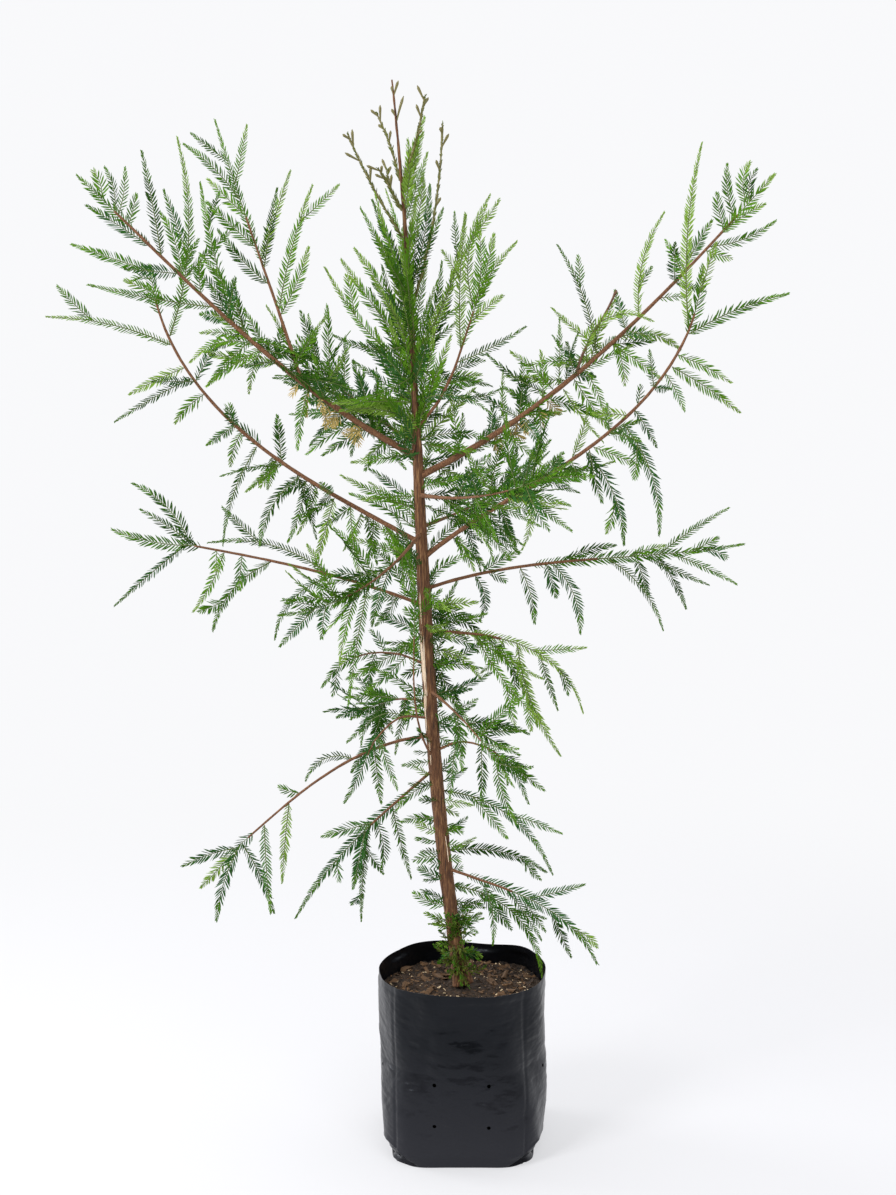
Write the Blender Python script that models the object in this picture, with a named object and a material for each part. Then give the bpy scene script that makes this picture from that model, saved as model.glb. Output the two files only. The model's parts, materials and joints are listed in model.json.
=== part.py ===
"""A potted montezuma cypress: a young tree in a black nursery grow bag.

Metres, +Z up. The origin is the centre of the bag's flat underside, +X is to the right and -Y is
towards the viewer. Branches are given by angles in degrees: aim is the heading seen from the
front, where 0 is right and 90 is up, and lean is how far it turns towards the viewer.
"""

import math
import random
from collections import namedtuple

import bmesh
import bpy
from mathutils import Matrix, Vector
from mathutils.bvhtree import BVHTree

MM = 0.001
GAP = 0.3 * MM
BACK = Vector((0, 1, 0))

# The bag: a gusseted film sleeve that is round at the rim and squarer at its folded foot.
BAG_RIM_WIDTH = 0.200
BAG_FOOT_WIDTH = 0.192
BAG_UNDERSIDE = (0.174, 0.186)
BAG_HEIGHT = 0.215
FOLD_HEIGHT = 0.014
COURSES = (FOLD_HEIGHT, 0.045, 0.120)
WALL = 0.0015
RIM_SQUARENESS = 2.0
FOOT_SQUARENESS = 4.2
FULL_WIDTH_BY = 0.25
ROUND_BY = 0.5
BAG_SIDES = 24
RIM_WAVE = 0.0025
RIM_WAVES = 3
RIM_WAVE_START = 0.6

# The potting mix fills the bag to a little under the rim.
SOIL_HEIGHT = 0.190
SOIL_FLAT_RADIUS = 0.022
SOIL_SWELL = 0.0025
SOIL_SWELL_SHARE = 0.72
SOIL_SWELL_TURN = 2.1
SOIL_INSET = WALL + 1.5 * GAP

# The trunk, from its flat foot on the soil to the tip of the leader. Girth is (along, radius in mm).
TRUNK_LENGTH = 1.079
TRUNK_AIMS = (99.6, 92.5, 96.3)
TRUNK_GIRTH = ((0, 12.5), (0.03, 9.6), (0.08, 8.4), (0.45, 7.7), (0.60, 5.8), (0.69, 3.6), (1, 0.9))
TRUNK_STEPS = 15
FLARE_TOP = 0.025
FLARE_TOP_RADIUS = 0.0098
TRUNK_SIDES = 10

# Limbs are chains of straight lengths, with a ring at each bend and none nearer to an end than this.
LIMB_STEP = 0.040
END_CLEARANCE = 0.006
ROOT_CLEARANCE = 0.0015
THICK_LIMB = 2.5
THICK_LIMB_SIDES = 8
THIN_LIMB_SIDES = 6
THIN_BY = 0.5
TIP_RADIUS = 0.9

# Foliage. A spray is a flat blade with a tooth for every few needles along each side.
TOOTH_SPACING = 0.042
TOOTH_REACH = 0.0125
TOOTH_FORWARD = 0.1
TOOTH_OUTLINE = (0.62, 1.0, 0.72)
LAST_TOOTH = 0.6
RIB_HALF_WIDTH = 0.0013
RIB_HALF_THICKNESS = 0.0008
RIB_TAPER = 0.45
ROOT_SHARE = 0.6
STOUT_FROM = 0.150
STEM_RADIUS = 0.0013
STEM_SIDES = 4
STEM_END = 0.96
STEM_PAST_SPRAY = 0.01
STEM_SHORTEST = 0.06
SPRAY_LEANS = (14, -30, 4, -16, 24, -8)
SPRAY_TURNS = ((0, 0), (6, 0), (-6, 0), (0, 12), (0, -12), (12, 12), (-12, -12), (15, -15), (-15, 15))
ROLL_RANGE = 35
LEADING_FROM = 0.45
LEADING_PAST_ROOT = 0.03
DEEP_LEAN = 30
SPRAY_SHARE_OF_LEAN = 0.5
FILL_REACH = (0.18, 0.76)
FILL_TURN = (35, 80)
FILL_LEAN = (45, 70)
FILL_LENGTH = (65, 90)
SEED = 11

# A bough's foot is a fraction along its parent, its length and girth are in mm, and it is bare up to
# the fraction where its tip foliage begins. Those with a split are two solids that meet at the bend.
# fill counts the short sprays that a seeded rule adds on its near side, and as many on its far side.
# A spray is (along, aim, bend, length in mm), with a slimness under 1 for a thin shoot.
Bough = namedtuple("Bough", "name parent foot aims leans length girth bare split fill sprays")
Spray = namedtuple("Spray", "along aim bend length slimness lean")
Mass = namedtuple("Mass", "name stem rings sprays leading_from")

BOUGHS = (
    Bough("upper_left", "trunk", 0.601, (152, 137, 136), (10, 4), 500, (3.9, 1.6), 0.80, None, 4, (
        (0.92, 77, 53, 34), (0.88, 87, 40, 61), (0.87, 69, 22, 54), (0.84, 71, 10, 36),
        (0.74, 94, 4, 130), (0.77, 146, 4, 88), (0.58, 173, -9, 145), (0.48, 167, 22, 67),
        (0.44, 205, 18, 76), (0.44, 242, 22, 58), (0.47, 219, 14, 74), (0.45, 154, 81, 89),
        (0.62, 98, -21, 42), (0.52, 111, -10, 190), (0.48, 104, 29, 109), (0.68, 92, 35, 78),
        (0.30, 250, 20, 75))),
    Bough("upper_right", "trunk", 0.580, (24, 42, 48), (-8, -2), 541, (3.9, 1.6), 0.80, None, 4, (
        (0.92, 115, -66, 40), (0.91, 116, -66, 59), (0.87, 113, -27, 64), (0.84, 115, -28, 44),
        (0.83, 46, -20, 63), (0.79, 2, 37, 87), (0.78, -20, 7, 32), (0.58, 95, -43, 148),
        (0.46, 96, 29, 141), (0.64, 6, -6, 34), (0.50, -29, -10, 75), (0.51, -63, -25, 55),
        (0.43, 110, -150, 127), (0.52, 20, -68, 99), (0.30, 280, -20, 70))),
    Bough("middle_left", "trunk", 0.507, (152, 141, 92), (-12, -6), 479, (2.9, 1.5), 0.84, 0.58, 4, (
        (0.79, 152, 27, 154), (0.98, 165, -1, 123), (0.96, 146, 77, 26), (0.73, 202, 9, 82),
        (0.70, 204, 9, 109), (0.65, 210, 28, 52), (0.55, 112, -29, 24), (0.52, 234, 31, 57),
        (0.47, 235, 31, 130), (0.41, 241, -7, 43), (0.34, 210, 58, 103), (0.31, 269, -17, 24),
        (0.20, 271, 16, 99), (0.46, 132, 24, 51), (0.81, 68, 36, 238))),
    Bough("middle_right", "trunk", 0.491, (42, 39, 93), (12, 8), 492, (2.9, 1.5), 0.80, 0.58, 4, (
        (0.83, 35, -22, 123), (0.84, 94, -21, 241), (0.78, -19, -16, 69), (0.75, -28, -12, 105),
        (0.73, -54, -18, 50), (0.63, 72, 20, 24), (0.60, 170, 10, 42), (0.62, -52, -13, 65),
        (0.58, -48, -47, 142), (0.47, -45, -44, 135), (0.43, -58, -20, 22), (0.31, -72, -46, 78),
        (0.93, 75, 0, 60))),
    Bough("riser_left", "upper_left", 0.321, (107, 110, 107), (-10, -20), 323, (2.3, 1.3), 0.22, None, 0, (
        (0.68, 121, 26, 92), (0.83, 146, -2, 64), (0.50, 139, -4, 76), (0.36, 144, -19, 90),
        (0.42, 80, -4, 104), (0.45, 73, -3, 109), (0.26, 80, -13, 156), (0.245, 58, 20, 95))),
    Bough("lower_left", "trunk", 0.439, (156, 164, 167), (8, 14), 297, (2.1, 1.3), 0.88, None, 0, (
        (0.94, 178, -25, 97), (0.95, 115, 49, 116), (0.93, 141, 8, 77), (0.97, 219, 5, 126),
        (0.85, 265, 10, 24), (0.82, 252, -20, 85), (0.75, 262, 7, 40), (0.63, 206, 52, 153),
        (0.42, 259, -2, 36), (0.38, 193, 73, 125), (0.24, 257, 7, 146), (0.40, 140, 54, 155),
        (0.23, 124, 83, 61), (0.12, 255, -33, 59))),
    Bough("lower_right", "trunk", 0.457, (18, 3, 10), (-12, -4), 389, (2.1, 1.3), 0.80, None, 0, (
        (0.87, 6, -46, 28), (0.72, -51, -20, 103), (0.83, 28, 0, 35), (0.66, -72, -1, 56),
        (0.57, -25, -52, 115), (0.38, -67, -12, 44), (0.40, -41, -54, 94), (0.16, -50, -69, 79),
        (0.20, -9, -34, 24), (0.43, 30, -32, 71), (0.64, 31, -15, 47), (0.18, 40, -24, 53),
        (0.30, -60, -30, 70))),
    Bough("low_left", "trunk", 0.294, (179, 213, 221), (12, 4), 275, (2.0, 1.2), 0.86, None, 0, (
        (0.99, 185, 21, 68), (0.98, 235, -4, 100), (0.97, 240, 25, 98), (0.96, 299, -19, 109),
        (0.83, 272, 7, 108), (0.69, 262, 4, 108), (0.36, 148, 109, 72), (0.63, 187, -30, 31))),
    Bough("low_left_inner", "trunk", 0.257, (227, 228, 244), (-20, -5), 282, (1.9, 1.2), 0.26, None, 0, (
        (0.65, 276, 3, 26), (0.43, 261, 8, 180), (0.39, 302, -48, 61), (0.28, 280, 5, 110),
        (0.45, 257, 0, 74))),
    Bough("right_arch", "trunk", 0.411, (-5, -22, -83), (-12, 12), 232, (2.1, 1.4), 0.22, None, 0, (
        (0.72, -47, -44, 34), (0.60, -74, 2, 100), (0.47, -84, 31, 149), (0.40, -99, -44, 55),
        (0.25, -62, 26, 148), (0.31, -45, -34, 136), (0.24, -42, 23, 101))),
    Bough("low_right", "trunk", 0.142, (-16, -22, -70), (20, 15), 225, (1.8, 1.1), 0.60, None, 0, (
        (0.77, -12, -44, 34), (0.62, -73, 5, 92), (0.22, -66, -32, 82), (0.45, -68, 13, 60))),
    Bough("riser_right", "trunk", 0.632, (40, 73, 38), (15, 0), 251, (2.1, 1.2), 0.18, None, 0, (
        (0.37, 21, 16, 93), (0.33, 32, -34, 43), (0.27, 7, -5, 38), (0.20, -20, 52, 77),
        (0.43, 94, -12, 172), (0.62, 109, -55, 138), (0.63, 74, 30, 105), (0.68, 71, 9, 84))),
    Bough("inner_left", "trunk", 0.372, (141, 186, 248), (20, 5), 150, (1.6, 0.9), 0, None, 0, (
        (0.80, 275, -26, 32), (0.45, 243, 37, 74), (0.20, 228, -14, 59), (0.39, 100, 47, 32))),
    Bough("inner_left_low", "trunk", 0.313, (129, 238, 229), (25, 10), 168, (1.6, 0.9), 0, None, 0, (
        (0.47, 294, -4, 67), (0.51, 274, 1, 108), (0.20, 150, 130, 80), (0.41, 228, 15, 71))),
    Bough("inner_right_low", "trunk", 0.276, (52, -31, -75), (20, 10), 159, (1.6, 0.9), 0, None, 0, (
        (0.44, -34, -51, 53), (0.56, -21, -64, 64), (0.20, -101, 9, 70))),
    Bough("side_shoot", "trunk", 0.264, (122, 89, 105), (34, 0, -4), 274, (1.4, 0.8), 0, None, 0, (
        (0.90, 120, -14, 31), (0.94, 155, -18, 26))),
    Bough("front_high", "trunk", 0.560, (10, 25, 45), (66, 50), 350, (2.6, 1.0), 0, None, 0, (
        (0.28, 70, -20, 90), (0.38, -40, -20, 85), (0.50, 85, -20, 95), (0.60, -20, -20, 85),
        (0.70, 80, 0, 75), (0.18, -30, -30, 85), (0.82, 10, 0, 70))),
    Bough("back_high", "trunk", 0.615, (165, 150, 125), (-66, -50), 350, (2.6, 1.0), 0, None, 0, (
        (0.28, 200, 20, 90), (0.38, 110, 10, 85), (0.50, 215, 20, 95), (0.60, 90, 0, 85),
        (0.70, 180, 0, 75), (0.18, 225, 20, 85), (0.82, 110, 0, 70))),
    Bough("front_middle", "trunk", 0.520, (225, 200, 170), (66, 48), 300, (2.4, 1.0), 0, None, 0, (
        (0.30, 240, 20, 85), (0.42, 120, 20, 75), (0.55, 245, 20, 85), (0.68, 110, 10, 75),
        (0.80, 215, 10, 75), (0.20, 150, 20, 70))),
    Bough("back_middle", "trunk", 0.525, (0, 15, 40), (-66, -48), 320, (2.4, 1.0), 0, None, 0, (
        (0.30, -60, -20, 85), (0.42, 70, -20, 75), (0.55, -60, -10, 85), (0.68, 80, 0, 75),
        (0.80, -20, 0, 75), (0.20, 50, -20, 70))),
    Bough("front_low", "trunk", 0.345, (-10, -35, -50), (66, 48), 220, (2.0, 0.9), 0, None, 0, (
        (0.30, -80, 0, 80), (0.45, 10, -40, 75), (0.62, -90, 0, 75), (0.78, -20, -20, 65))),
    Bough("back_low", "trunk", 0.330, (190, 215, 230), (-66, -48), 240, (2.0, 0.9), 0, None, 0, (
        (0.30, 260, 0, 80), (0.45, 170, 40, 75), (0.62, 270, 0, 75), (0.78, 200, 20, 65))),
)

# Sprays that grow straight from the trunk, by the side they stand on: 0 is right, 90 is the back.
Cluster = namedtuple("Cluster", "name around lean sprays")

CLUSTERS = (
    Cluster("leader_left_foliage", 180, 0, (
        (0.78, 110, 2, 112), (0.74, 126, 2, 125), (0.69, 141, -25, 160), (0.71, 129, -4, 140),
        (0.72, 195, -51, 100), (0.77, 118, 0, 117), (0.66, 144, -1, 87), (0.65, 149, 80, 96),
        (0.83, 123, -10, 137, 0.5), (0.89, 102, 15, 86, 0.5), (0.86, 115, 8, 61, 0.6),
        (0.86, 130, -40, 52, 0.7))),
    Cluster("leader_right_foliage", 0, 0, (
        (0.76, 72, 17, 218, 0.6), (0.69, 60, 18, 144), (0.78, 71, 17, 120), (0.665, 38, -40, 82),
        (0.89, 69, 12, 109, 0.5), (0.82, 68, 22, 89), (0.71, 55, 32, 181), (0.85, 73, -1, 93),
        (0.86, 73, 15, 88, 0.8))),
    Cluster("leader_front_foliage", 270, 26, (
        (0.74, 92, 5, 120), (0.70, 115, -15, 120), (0.66, 35, -80, 110), (0.78, 80, 5, 90),
        (0.68, 70, 10, 110), (0.64, 150, 40, 95), (0.72, 100, 0, 100), (0.62, 20, -40, 85))),
    Cluster("leader_back_foliage", 90, -26, (
        (0.74, 92, 5, 120), (0.70, 65, 15, 120), (0.66, 125, 20, 100), (0.78, 100, -5, 90),
        (0.68, 110, -10, 110), (0.65, 40, -40, 90), (0.72, 80, 0, 100), (0.64, 160, 30, 85))),
    Cluster("trunk_right_foliage", 50, 0, (
        (0.462, 62, -50, 66), (0.425, 5, -68, 92), (0.39, -1, -60, 73), (0.37, -46, -33, 85),
        (0.345, -9, -66, 66), (0.40, 21, -76, 65))),
    Cluster("low_right_sprays", 55, 0, (
        (0.23, 2, -74, 180), (0.16, -1, -46, 162), (0.12, -2, -88, 176), (0.18, 20, 24, 33),
        (0.09, 30, -7, 52), (0.10, 0, -30, 40))),
    Cluster("low_left_sprays", 232, 0, (
        (0.24, 185, 56, 57), (0.20, 178, 36, 53), (0.13, 152, -1, 33), (0.10, 182, -37, 44),
        (0.16, 142, 46, 27))),
    Cluster("foot_sprays", 270, 20, (
        (0.075, 150, 20, 38), (0.07, 30, -20, 40), (0.05, 200, 30, 30), (0.048, -10, -30, 32),
        (0.085, 60, -30, 36), (0.06, 95, 0, 30))),
)

# The dead snag on the upper right bough: a stub with a knob at its end.
SNAG_FOOT = 0.40
SNAG_AIMS = (80, 60, 72)
SNAG_LEAN = 4
SNAG_LENGTH = 0.110
SNAG_RADII = (1.8, 1.3)
KNOB_FROM = 0.94
KNOB = ((0.96, 1.9), (1, 1.3))

BARK = (0.23, 0.11, 0.06)
BOUGH_BARK = (0.28, 0.15, 0.09)
FILM_BLACK = (0.022, 0.023, 0.027)
SOIL_BROWN = (0.035, 0.02, 0.012)
GREENS = ((0.06, 0.15, 0.04), (0.10, 0.22, 0.07), (0.09, 0.19, 0.12), (0.17, 0.27, 0.06))


def clear_scene():
    for obj in list(bpy.data.objects):
        bpy.data.objects.remove(obj)


def heading(aim, lean):
    """The unit direction of an aim and a lean."""
    aim, lean = math.radians(aim), math.radians(lean)
    return Vector((math.cos(aim) * math.cos(lean), -math.sin(lean), math.sin(aim) * math.cos(lean)))


def between(values, s):
    """Two values run straight from root to tip, and three bend through the middle one."""
    if len(values) == 2:
        return values[0] + (values[1] - values[0]) * s
    root, middle, tip = values
    return root + s * (4 * middle - 3 * root - tip) + 2 * s * s * (root - 2 * middle + tip)


def girth_at(stations, s):
    for (low, thick), (high, thin) in zip(stations, stations[1:]):
        if s <= high:
            return (thick + (thin - thick) * (s - low) / (high - low)) * MM
    return stations[-1][1] * MM


class Line:
    """A limb or a spray as a chain of straight lengths. Its aim, lean and girth change along it."""

    def __init__(self, start, aims, leans, length, girth=((0, 0), (1, 0)), steps=None):
        self.aims, self.leans, self.length, self.girth = aims, leans, length, girth
        self.steps = steps or max(4, round(length / LIMB_STEP))
        self.points = [Vector(start)]
        for step in range(self.steps):
            middle = (step + 0.5) / self.steps
            self.points.append(self.points[-1] + self.tangent(middle) * (length / self.steps))

    def tangent(self, s):
        return heading(between(self.aims, s), between(self.leans, s))

    def point(self, s):
        step = min(int(s * self.steps), self.steps - 1)
        return self.points[step].lerp(self.points[step + 1], s * self.steps - step)

    def radius(self, s):
        step = min(int(s * self.steps), self.steps - 1)
        low, high = (girth_at(self.girth, i / self.steps) for i in (step, step + 1))
        return low + (high - low) * (s * self.steps - step)

    def stations(self, start, end):
        """Where rings stand between two places: at both, and at each bend of the chain between them."""
        clear = END_CLEARANCE / self.length
        bends = [i / self.steps for i in range(self.steps + 1)]
        return [start] + [s for s in bends if start + clear < s < end - clear] + [end]


class Beside:
    """A thin stem that hugs one side of a limb, 0.3 mm clear of it. s is the limb's own s."""

    def __init__(self, limb, side):
        self.limb, self.side = limb, side

    def tangent(self, s):
        return self.limb.tangent(s)

    def point(self, s):
        away = square_to(self.side, self.limb.tangent(s))
        return self.limb.point(s) + away * (self.limb.radius(s) + GAP + STEM_RADIUS)

    def radius(self, s):
        return STEM_RADIUS


def square_to(direction, tangent):
    """The part of a direction that is square to a tangent, as a unit vector."""
    return (direction - tangent * direction.dot(tangent)).normalized()


def material(name, colour, roughness):
    finish = bpy.data.materials.new(name)
    finish.use_nodes = True
    shader = finish.node_tree.nodes["Principled BSDF"]
    shader.inputs["Base Color"].default_value = (*colour, 1)
    shader.inputs["Roughness"].default_value = roughness
    shader.inputs["Metallic"].default_value = 0
    return finish


def mesh_object(name, points, faces, finish, collection=None):
    """A closed mesh with its faces turned outwards."""
    mesh = bpy.data.meshes.new(name)
    mesh.from_pydata(points, [], faces)
    sculpt = bmesh.new()
    sculpt.from_mesh(mesh)
    bmesh.ops.recalc_face_normals(sculpt, faces=sculpt.faces)
    sculpt.to_mesh(mesh)
    sculpt.free()
    mesh.materials.append(finish)
    obj = bpy.data.objects.new(name, mesh)
    (collection or bpy.context.scene.collection).objects.link(obj)
    return obj


def ring(centre, tangent, radius, sides):
    back = square_to(BACK, tangent)
    across = tangent.cross(back)
    turns = [2 * math.pi * i / sides for i in range(sides)]
    return [centre + (across * math.cos(a) + back * math.sin(a)) * radius for a in turns]


def loft(rings):
    """The points and faces of a closed tube through rings of equal size.

    Its quads are split the same way whether the rings run up or down, so that two walls stay parallel.
    """
    sides = len(rings[0])
    points = [point for loop in rings for point in loop]
    faces = [tuple(range(sides)), tuple(range(len(points) - sides, len(points)))]
    for level in range(len(rings) - 1):
        for i in range(sides):
            j = (i + 1) % sides
            low, high = level * sides, (level + 1) * sides
            if rings[level][0].z > rings[level + 1][0].z:
                low, high = high, low
            faces += [(low + i, low + j, high + j), (low + i, high + j, high + i)]
    return points, faces


def limb_rings(line, start, end, sides):
    """Rings along a line from one place to another."""
    return [ring(line.point(s), line.tangent(s), line.radius(s), sides) for s in line.stations(start, end)]


def rooted_rings(line, end, sides, parent, foot):
    """Rings along a line whose first ring is mitred to lie on its parent's side, 0.3 mm clear of it."""
    out = line.tangent(0)
    hub = parent.point(foot)
    away = square_to(out, parent.tangent(foot))
    seat = parent.radius(foot) + GAP
    slope = out.dot(away)
    reach = seat / slope
    mitred = []
    for corner in ring(line.point(0) + out * reach, out, line.radius(0), sides):
        mitred.append(corner + out * ((seat - (corner - hub).dot(away)) / slope))
    clear = reach + line.radius(0) * math.sqrt(1 - slope * slope) / slope + ROOT_CLEARANCE
    return [mitred] + limb_rings(line, clear / line.length, end, sides)


def blade(line, start, end, slimness, roll, swell=0.0):
    """The points and faces of a spray: a rib with teeth on both sides, ending in a point."""
    length = (end - start) * line.length
    teeth = max(2, round(length / TOOTH_SPACING))
    count = teeth - 1 + LAST_TOOTH
    stoutness = max(1, length / STOUT_FROM)
    points = []
    faces = [(0, 1, 2)]

    def station(u):
        s = start + (end - start) * u
        tangent = line.tangent(s)
        face = Matrix.Rotation(math.radians(roll), 3, tangent) @ square_to(BACK, tangent)
        return line.point(s), tangent.cross(face), face

    for i in range(teeth):
        centre, across, face = station(i / count)
        share = stoutness * (ROOT_SHARE if i == 0 else 1 - RIB_TAPER * i / count)
        width, height = RIB_HALF_WIDTH * share + swell, RIB_HALF_THICKNESS * share + swell
        points += [centre + face * height]
        points += [centre + across * side * width - face * height for side in (1, -1)]
    for i in range(1, teeth):
        u = (i + TOOTH_FORWARD) / count
        centre, across, face = station(u)
        reach = TOOTH_REACH * slimness * between(TOOTH_OUTLINE, u) + swell
        points += [centre + across * side * reach for side in (1, -1)]
    points.append(line.point(end) + line.tangent(end) * swell)
    tip = len(points) - 1
    for i in range(teeth - 1):
        here, there = 3 * i, 3 * (i + 1)
        faces += [(here + 1, here + 2, there + 2), (here + 1, there + 2, there + 1)]
        for side in (1, 2):
            tooth = 3 * teeth + 2 * i + side - 1
            faces += [(here, here + side, tooth), (here, tooth, there)]
            faces += [(there, tooth, there + side), (here + side, tooth, there + side)]
    last = 3 * (teeth - 1)
    faces += [(last, last + 1, tip), (last, last + 2, tip), (last + 1, last + 2, tip)]
    return points, faces


class Taken:
    """The space that the solids made so far hold, by the node that each belongs to."""

    def __init__(self):
        self.trees = []

    def add(self, owner, points, faces):
        self.trees.append((owner, BVHTree.FromPolygons(points, faces)))

    def clear_of(self, owner, points, faces):
        tree = BVHTree.FromPolygons(points, faces)
        return not any(other != owner and tree.overlap(theirs) for other, theirs in self.trees)


def bag_loop(height, inset=0.0):
    """The bag's outline at a height: round at the rim, squarer at the foot and folded in under it."""
    up = max(0, height - FOLD_HEIGHT) / (BAG_HEIGHT - FOLD_HEIGHT)
    width = BAG_FOOT_WIDTH + (BAG_RIM_WIDTH - BAG_FOOT_WIDTH) * min(1, up / FULL_WIDTH_BY)
    squareness = FOOT_SQUARENESS + (RIM_SQUARENESS - FOOT_SQUARENESS) * min(1, up / ROUND_BY)
    fold = min(1, height / FOLD_HEIGHT)
    halves = [(under + (width - under) * fold) / 2 - inset for under in BAG_UNDERSIDE]
    loop = []
    for i in range(BAG_SIDES):
        turn = 2 * math.pi * i / BAG_SIDES
        wave = RIM_WAVE * math.sin(RIM_WAVES * turn + RIM_WAVE_START) if height == BAG_HEIGHT else 0
        x, y = (half * math.copysign(abs(part) ** (2 / squareness), part)
                for half, part in zip(halves, (math.cos(turn), math.sin(turn))))
        loop.append(Vector((x, y, height + wave)))
    return loop


def bag():
    """The open bag: outer wall, rim, inner wall and floor."""
    heights = [*COURSES, BAG_HEIGHT]
    loops = [bag_loop(0)] + [bag_loop(height) for height in heights]
    loops += [bag_loop(height, WALL) for height in reversed(heights)]
    return loft(loops + [bag_loop(WALL, WALL)])


def soil():
    """The potting mix, 0.3 mm clear of the bag, a little uneven on top and flat under the trunk."""
    loops = [bag_loop(height, SOIL_INSET) for height in (WALL + GAP, *COURSES, SOIL_HEIGHT)]
    edge = loops[-1]
    uneven, flat = [], []
    for i, corner in enumerate(edge):
        rise = SOIL_HEIGHT + SOIL_SWELL * math.sin(SOIL_SWELL_TURN * i)
        uneven.append(Vector((corner.x * SOIL_SWELL_SHARE, corner.y * SOIL_SWELL_SHARE, rise)))
        outwards = Vector((corner.x, corner.y, 0)).normalized()
        flat.append(outwards * SOIL_FLAT_RADIUS + Vector((0, 0, SOIL_HEIGHT)))
    return loft(loops + [uneven, flat])


def join_mass(name, stem_rings, blades, finish):
    """One closed solid from a stem and its sprays.

    The manifold solver closes every mass, where the exact one left the side shoot's open by three edges.
    """
    pieces = bpy.data.collections.new(name + "_pieces")
    bpy.context.scene.collection.children.link(pieces)
    for number, (points, faces) in enumerate(blades):
        mesh_object(f"{name}_{number}", points, faces, finish, pieces)
    body = mesh_object(name, *loft(stem_rings), finish)
    union = body.modifiers.new("union", "BOOLEAN")
    union.operation = "UNION"
    union.operand_type = "COLLECTION"
    union.collection = pieces
    union.solver = "MANIFOLD"
    bpy.context.view_layer.objects.active = body
    bpy.ops.object.modifier_apply(modifier=union.name)
    for piece in list(pieces.objects):
        bpy.data.objects.remove(piece)
    bpy.data.collections.remove(pieces)


def with_leans(sprays, base_lean=0):
    """The sprays of a table, each leaning to or from the viewer by its place in the table."""
    found = []
    for place, spray in enumerate(sprays):
        slimness = spray[4] if len(spray) > 4 else 1
        found.append(Spray(*spray[:4], slimness, base_lean + SPRAY_LEANS[place % len(SPRAY_LEANS)]))
    return found


def fill_sprays(bough, facing, chance):
    """Short sprays towards the viewer (facing 1) or away from them (-1), dealt out by a seeded rule."""
    low, high = FILL_REACH
    found = []
    for i in range(bough.fill):
        along = low + (high - low) * (i + 0.5) / bough.fill
        turn = chance.uniform(*FILL_TURN) * (1 if i % 2 else -1) * facing
        aim = between(bough.aims, along) + turn
        length, lean = chance.uniform(*FILL_LENGTH), facing * chance.uniform(*FILL_LEAN)
        found.append(Spray(along, aim, 0, length, 1, lean))
    return found


def tip_mass(name, line, bare, sprays, parent, foot):
    """A mass whose stem is the end of its bough, or a whole twig where there is no bare part."""
    last = max([spray.along + STEM_PAST_SPRAY for spray in sprays] + [bare + STEM_SHORTEST])
    end = min(STEM_END, last)
    if bare:
        rings = limb_rings(line, bare + GAP / line.length, end, STEM_SIDES)
    else:
        rings = rooted_rings(line, end, STEM_SIDES, parent, foot)
    return Mass(name, line, rings, sprays, max(bare + LEADING_PAST_ROOT, LEADING_FROM))


def side_mass(name, line, side, sprays):
    """A mass whose stem hugs one side of a limb or of the trunk."""
    stem = Beside(line, side)
    margin = END_CLEARANCE / line.length
    low = min(spray.along for spray in sprays) - margin
    high = max(spray.along for spray in sprays) + margin
    rings = [ring(stem.point(s), stem.tangent(s), STEM_RADIUS, STEM_SIDES) for s in line.stations(low, high)]
    return Mass(name, stem, rings, sprays, None)


def fitted_spray(mass, spray, taken, chance):
    """A spray turned a little until it is clear of everything else, or nothing where it can't be."""
    roll = chance.uniform(-ROLL_RANGE, ROLL_RANGE)
    start = mass.stem.point(spray.along)
    for turn, nod in SPRAY_TURNS:
        aim, lean = spray.aim + turn, spray.lean + nod
        line = Line(start, (aim, aim + spray.bend), (lean, lean), spray.length * MM)
        if taken.clear_of(mass.name, *blade(line, 0, 1, spray.slimness, roll, GAP)):
            return blade(line, 0, 1, spray.slimness, roll)
    return None


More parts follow.
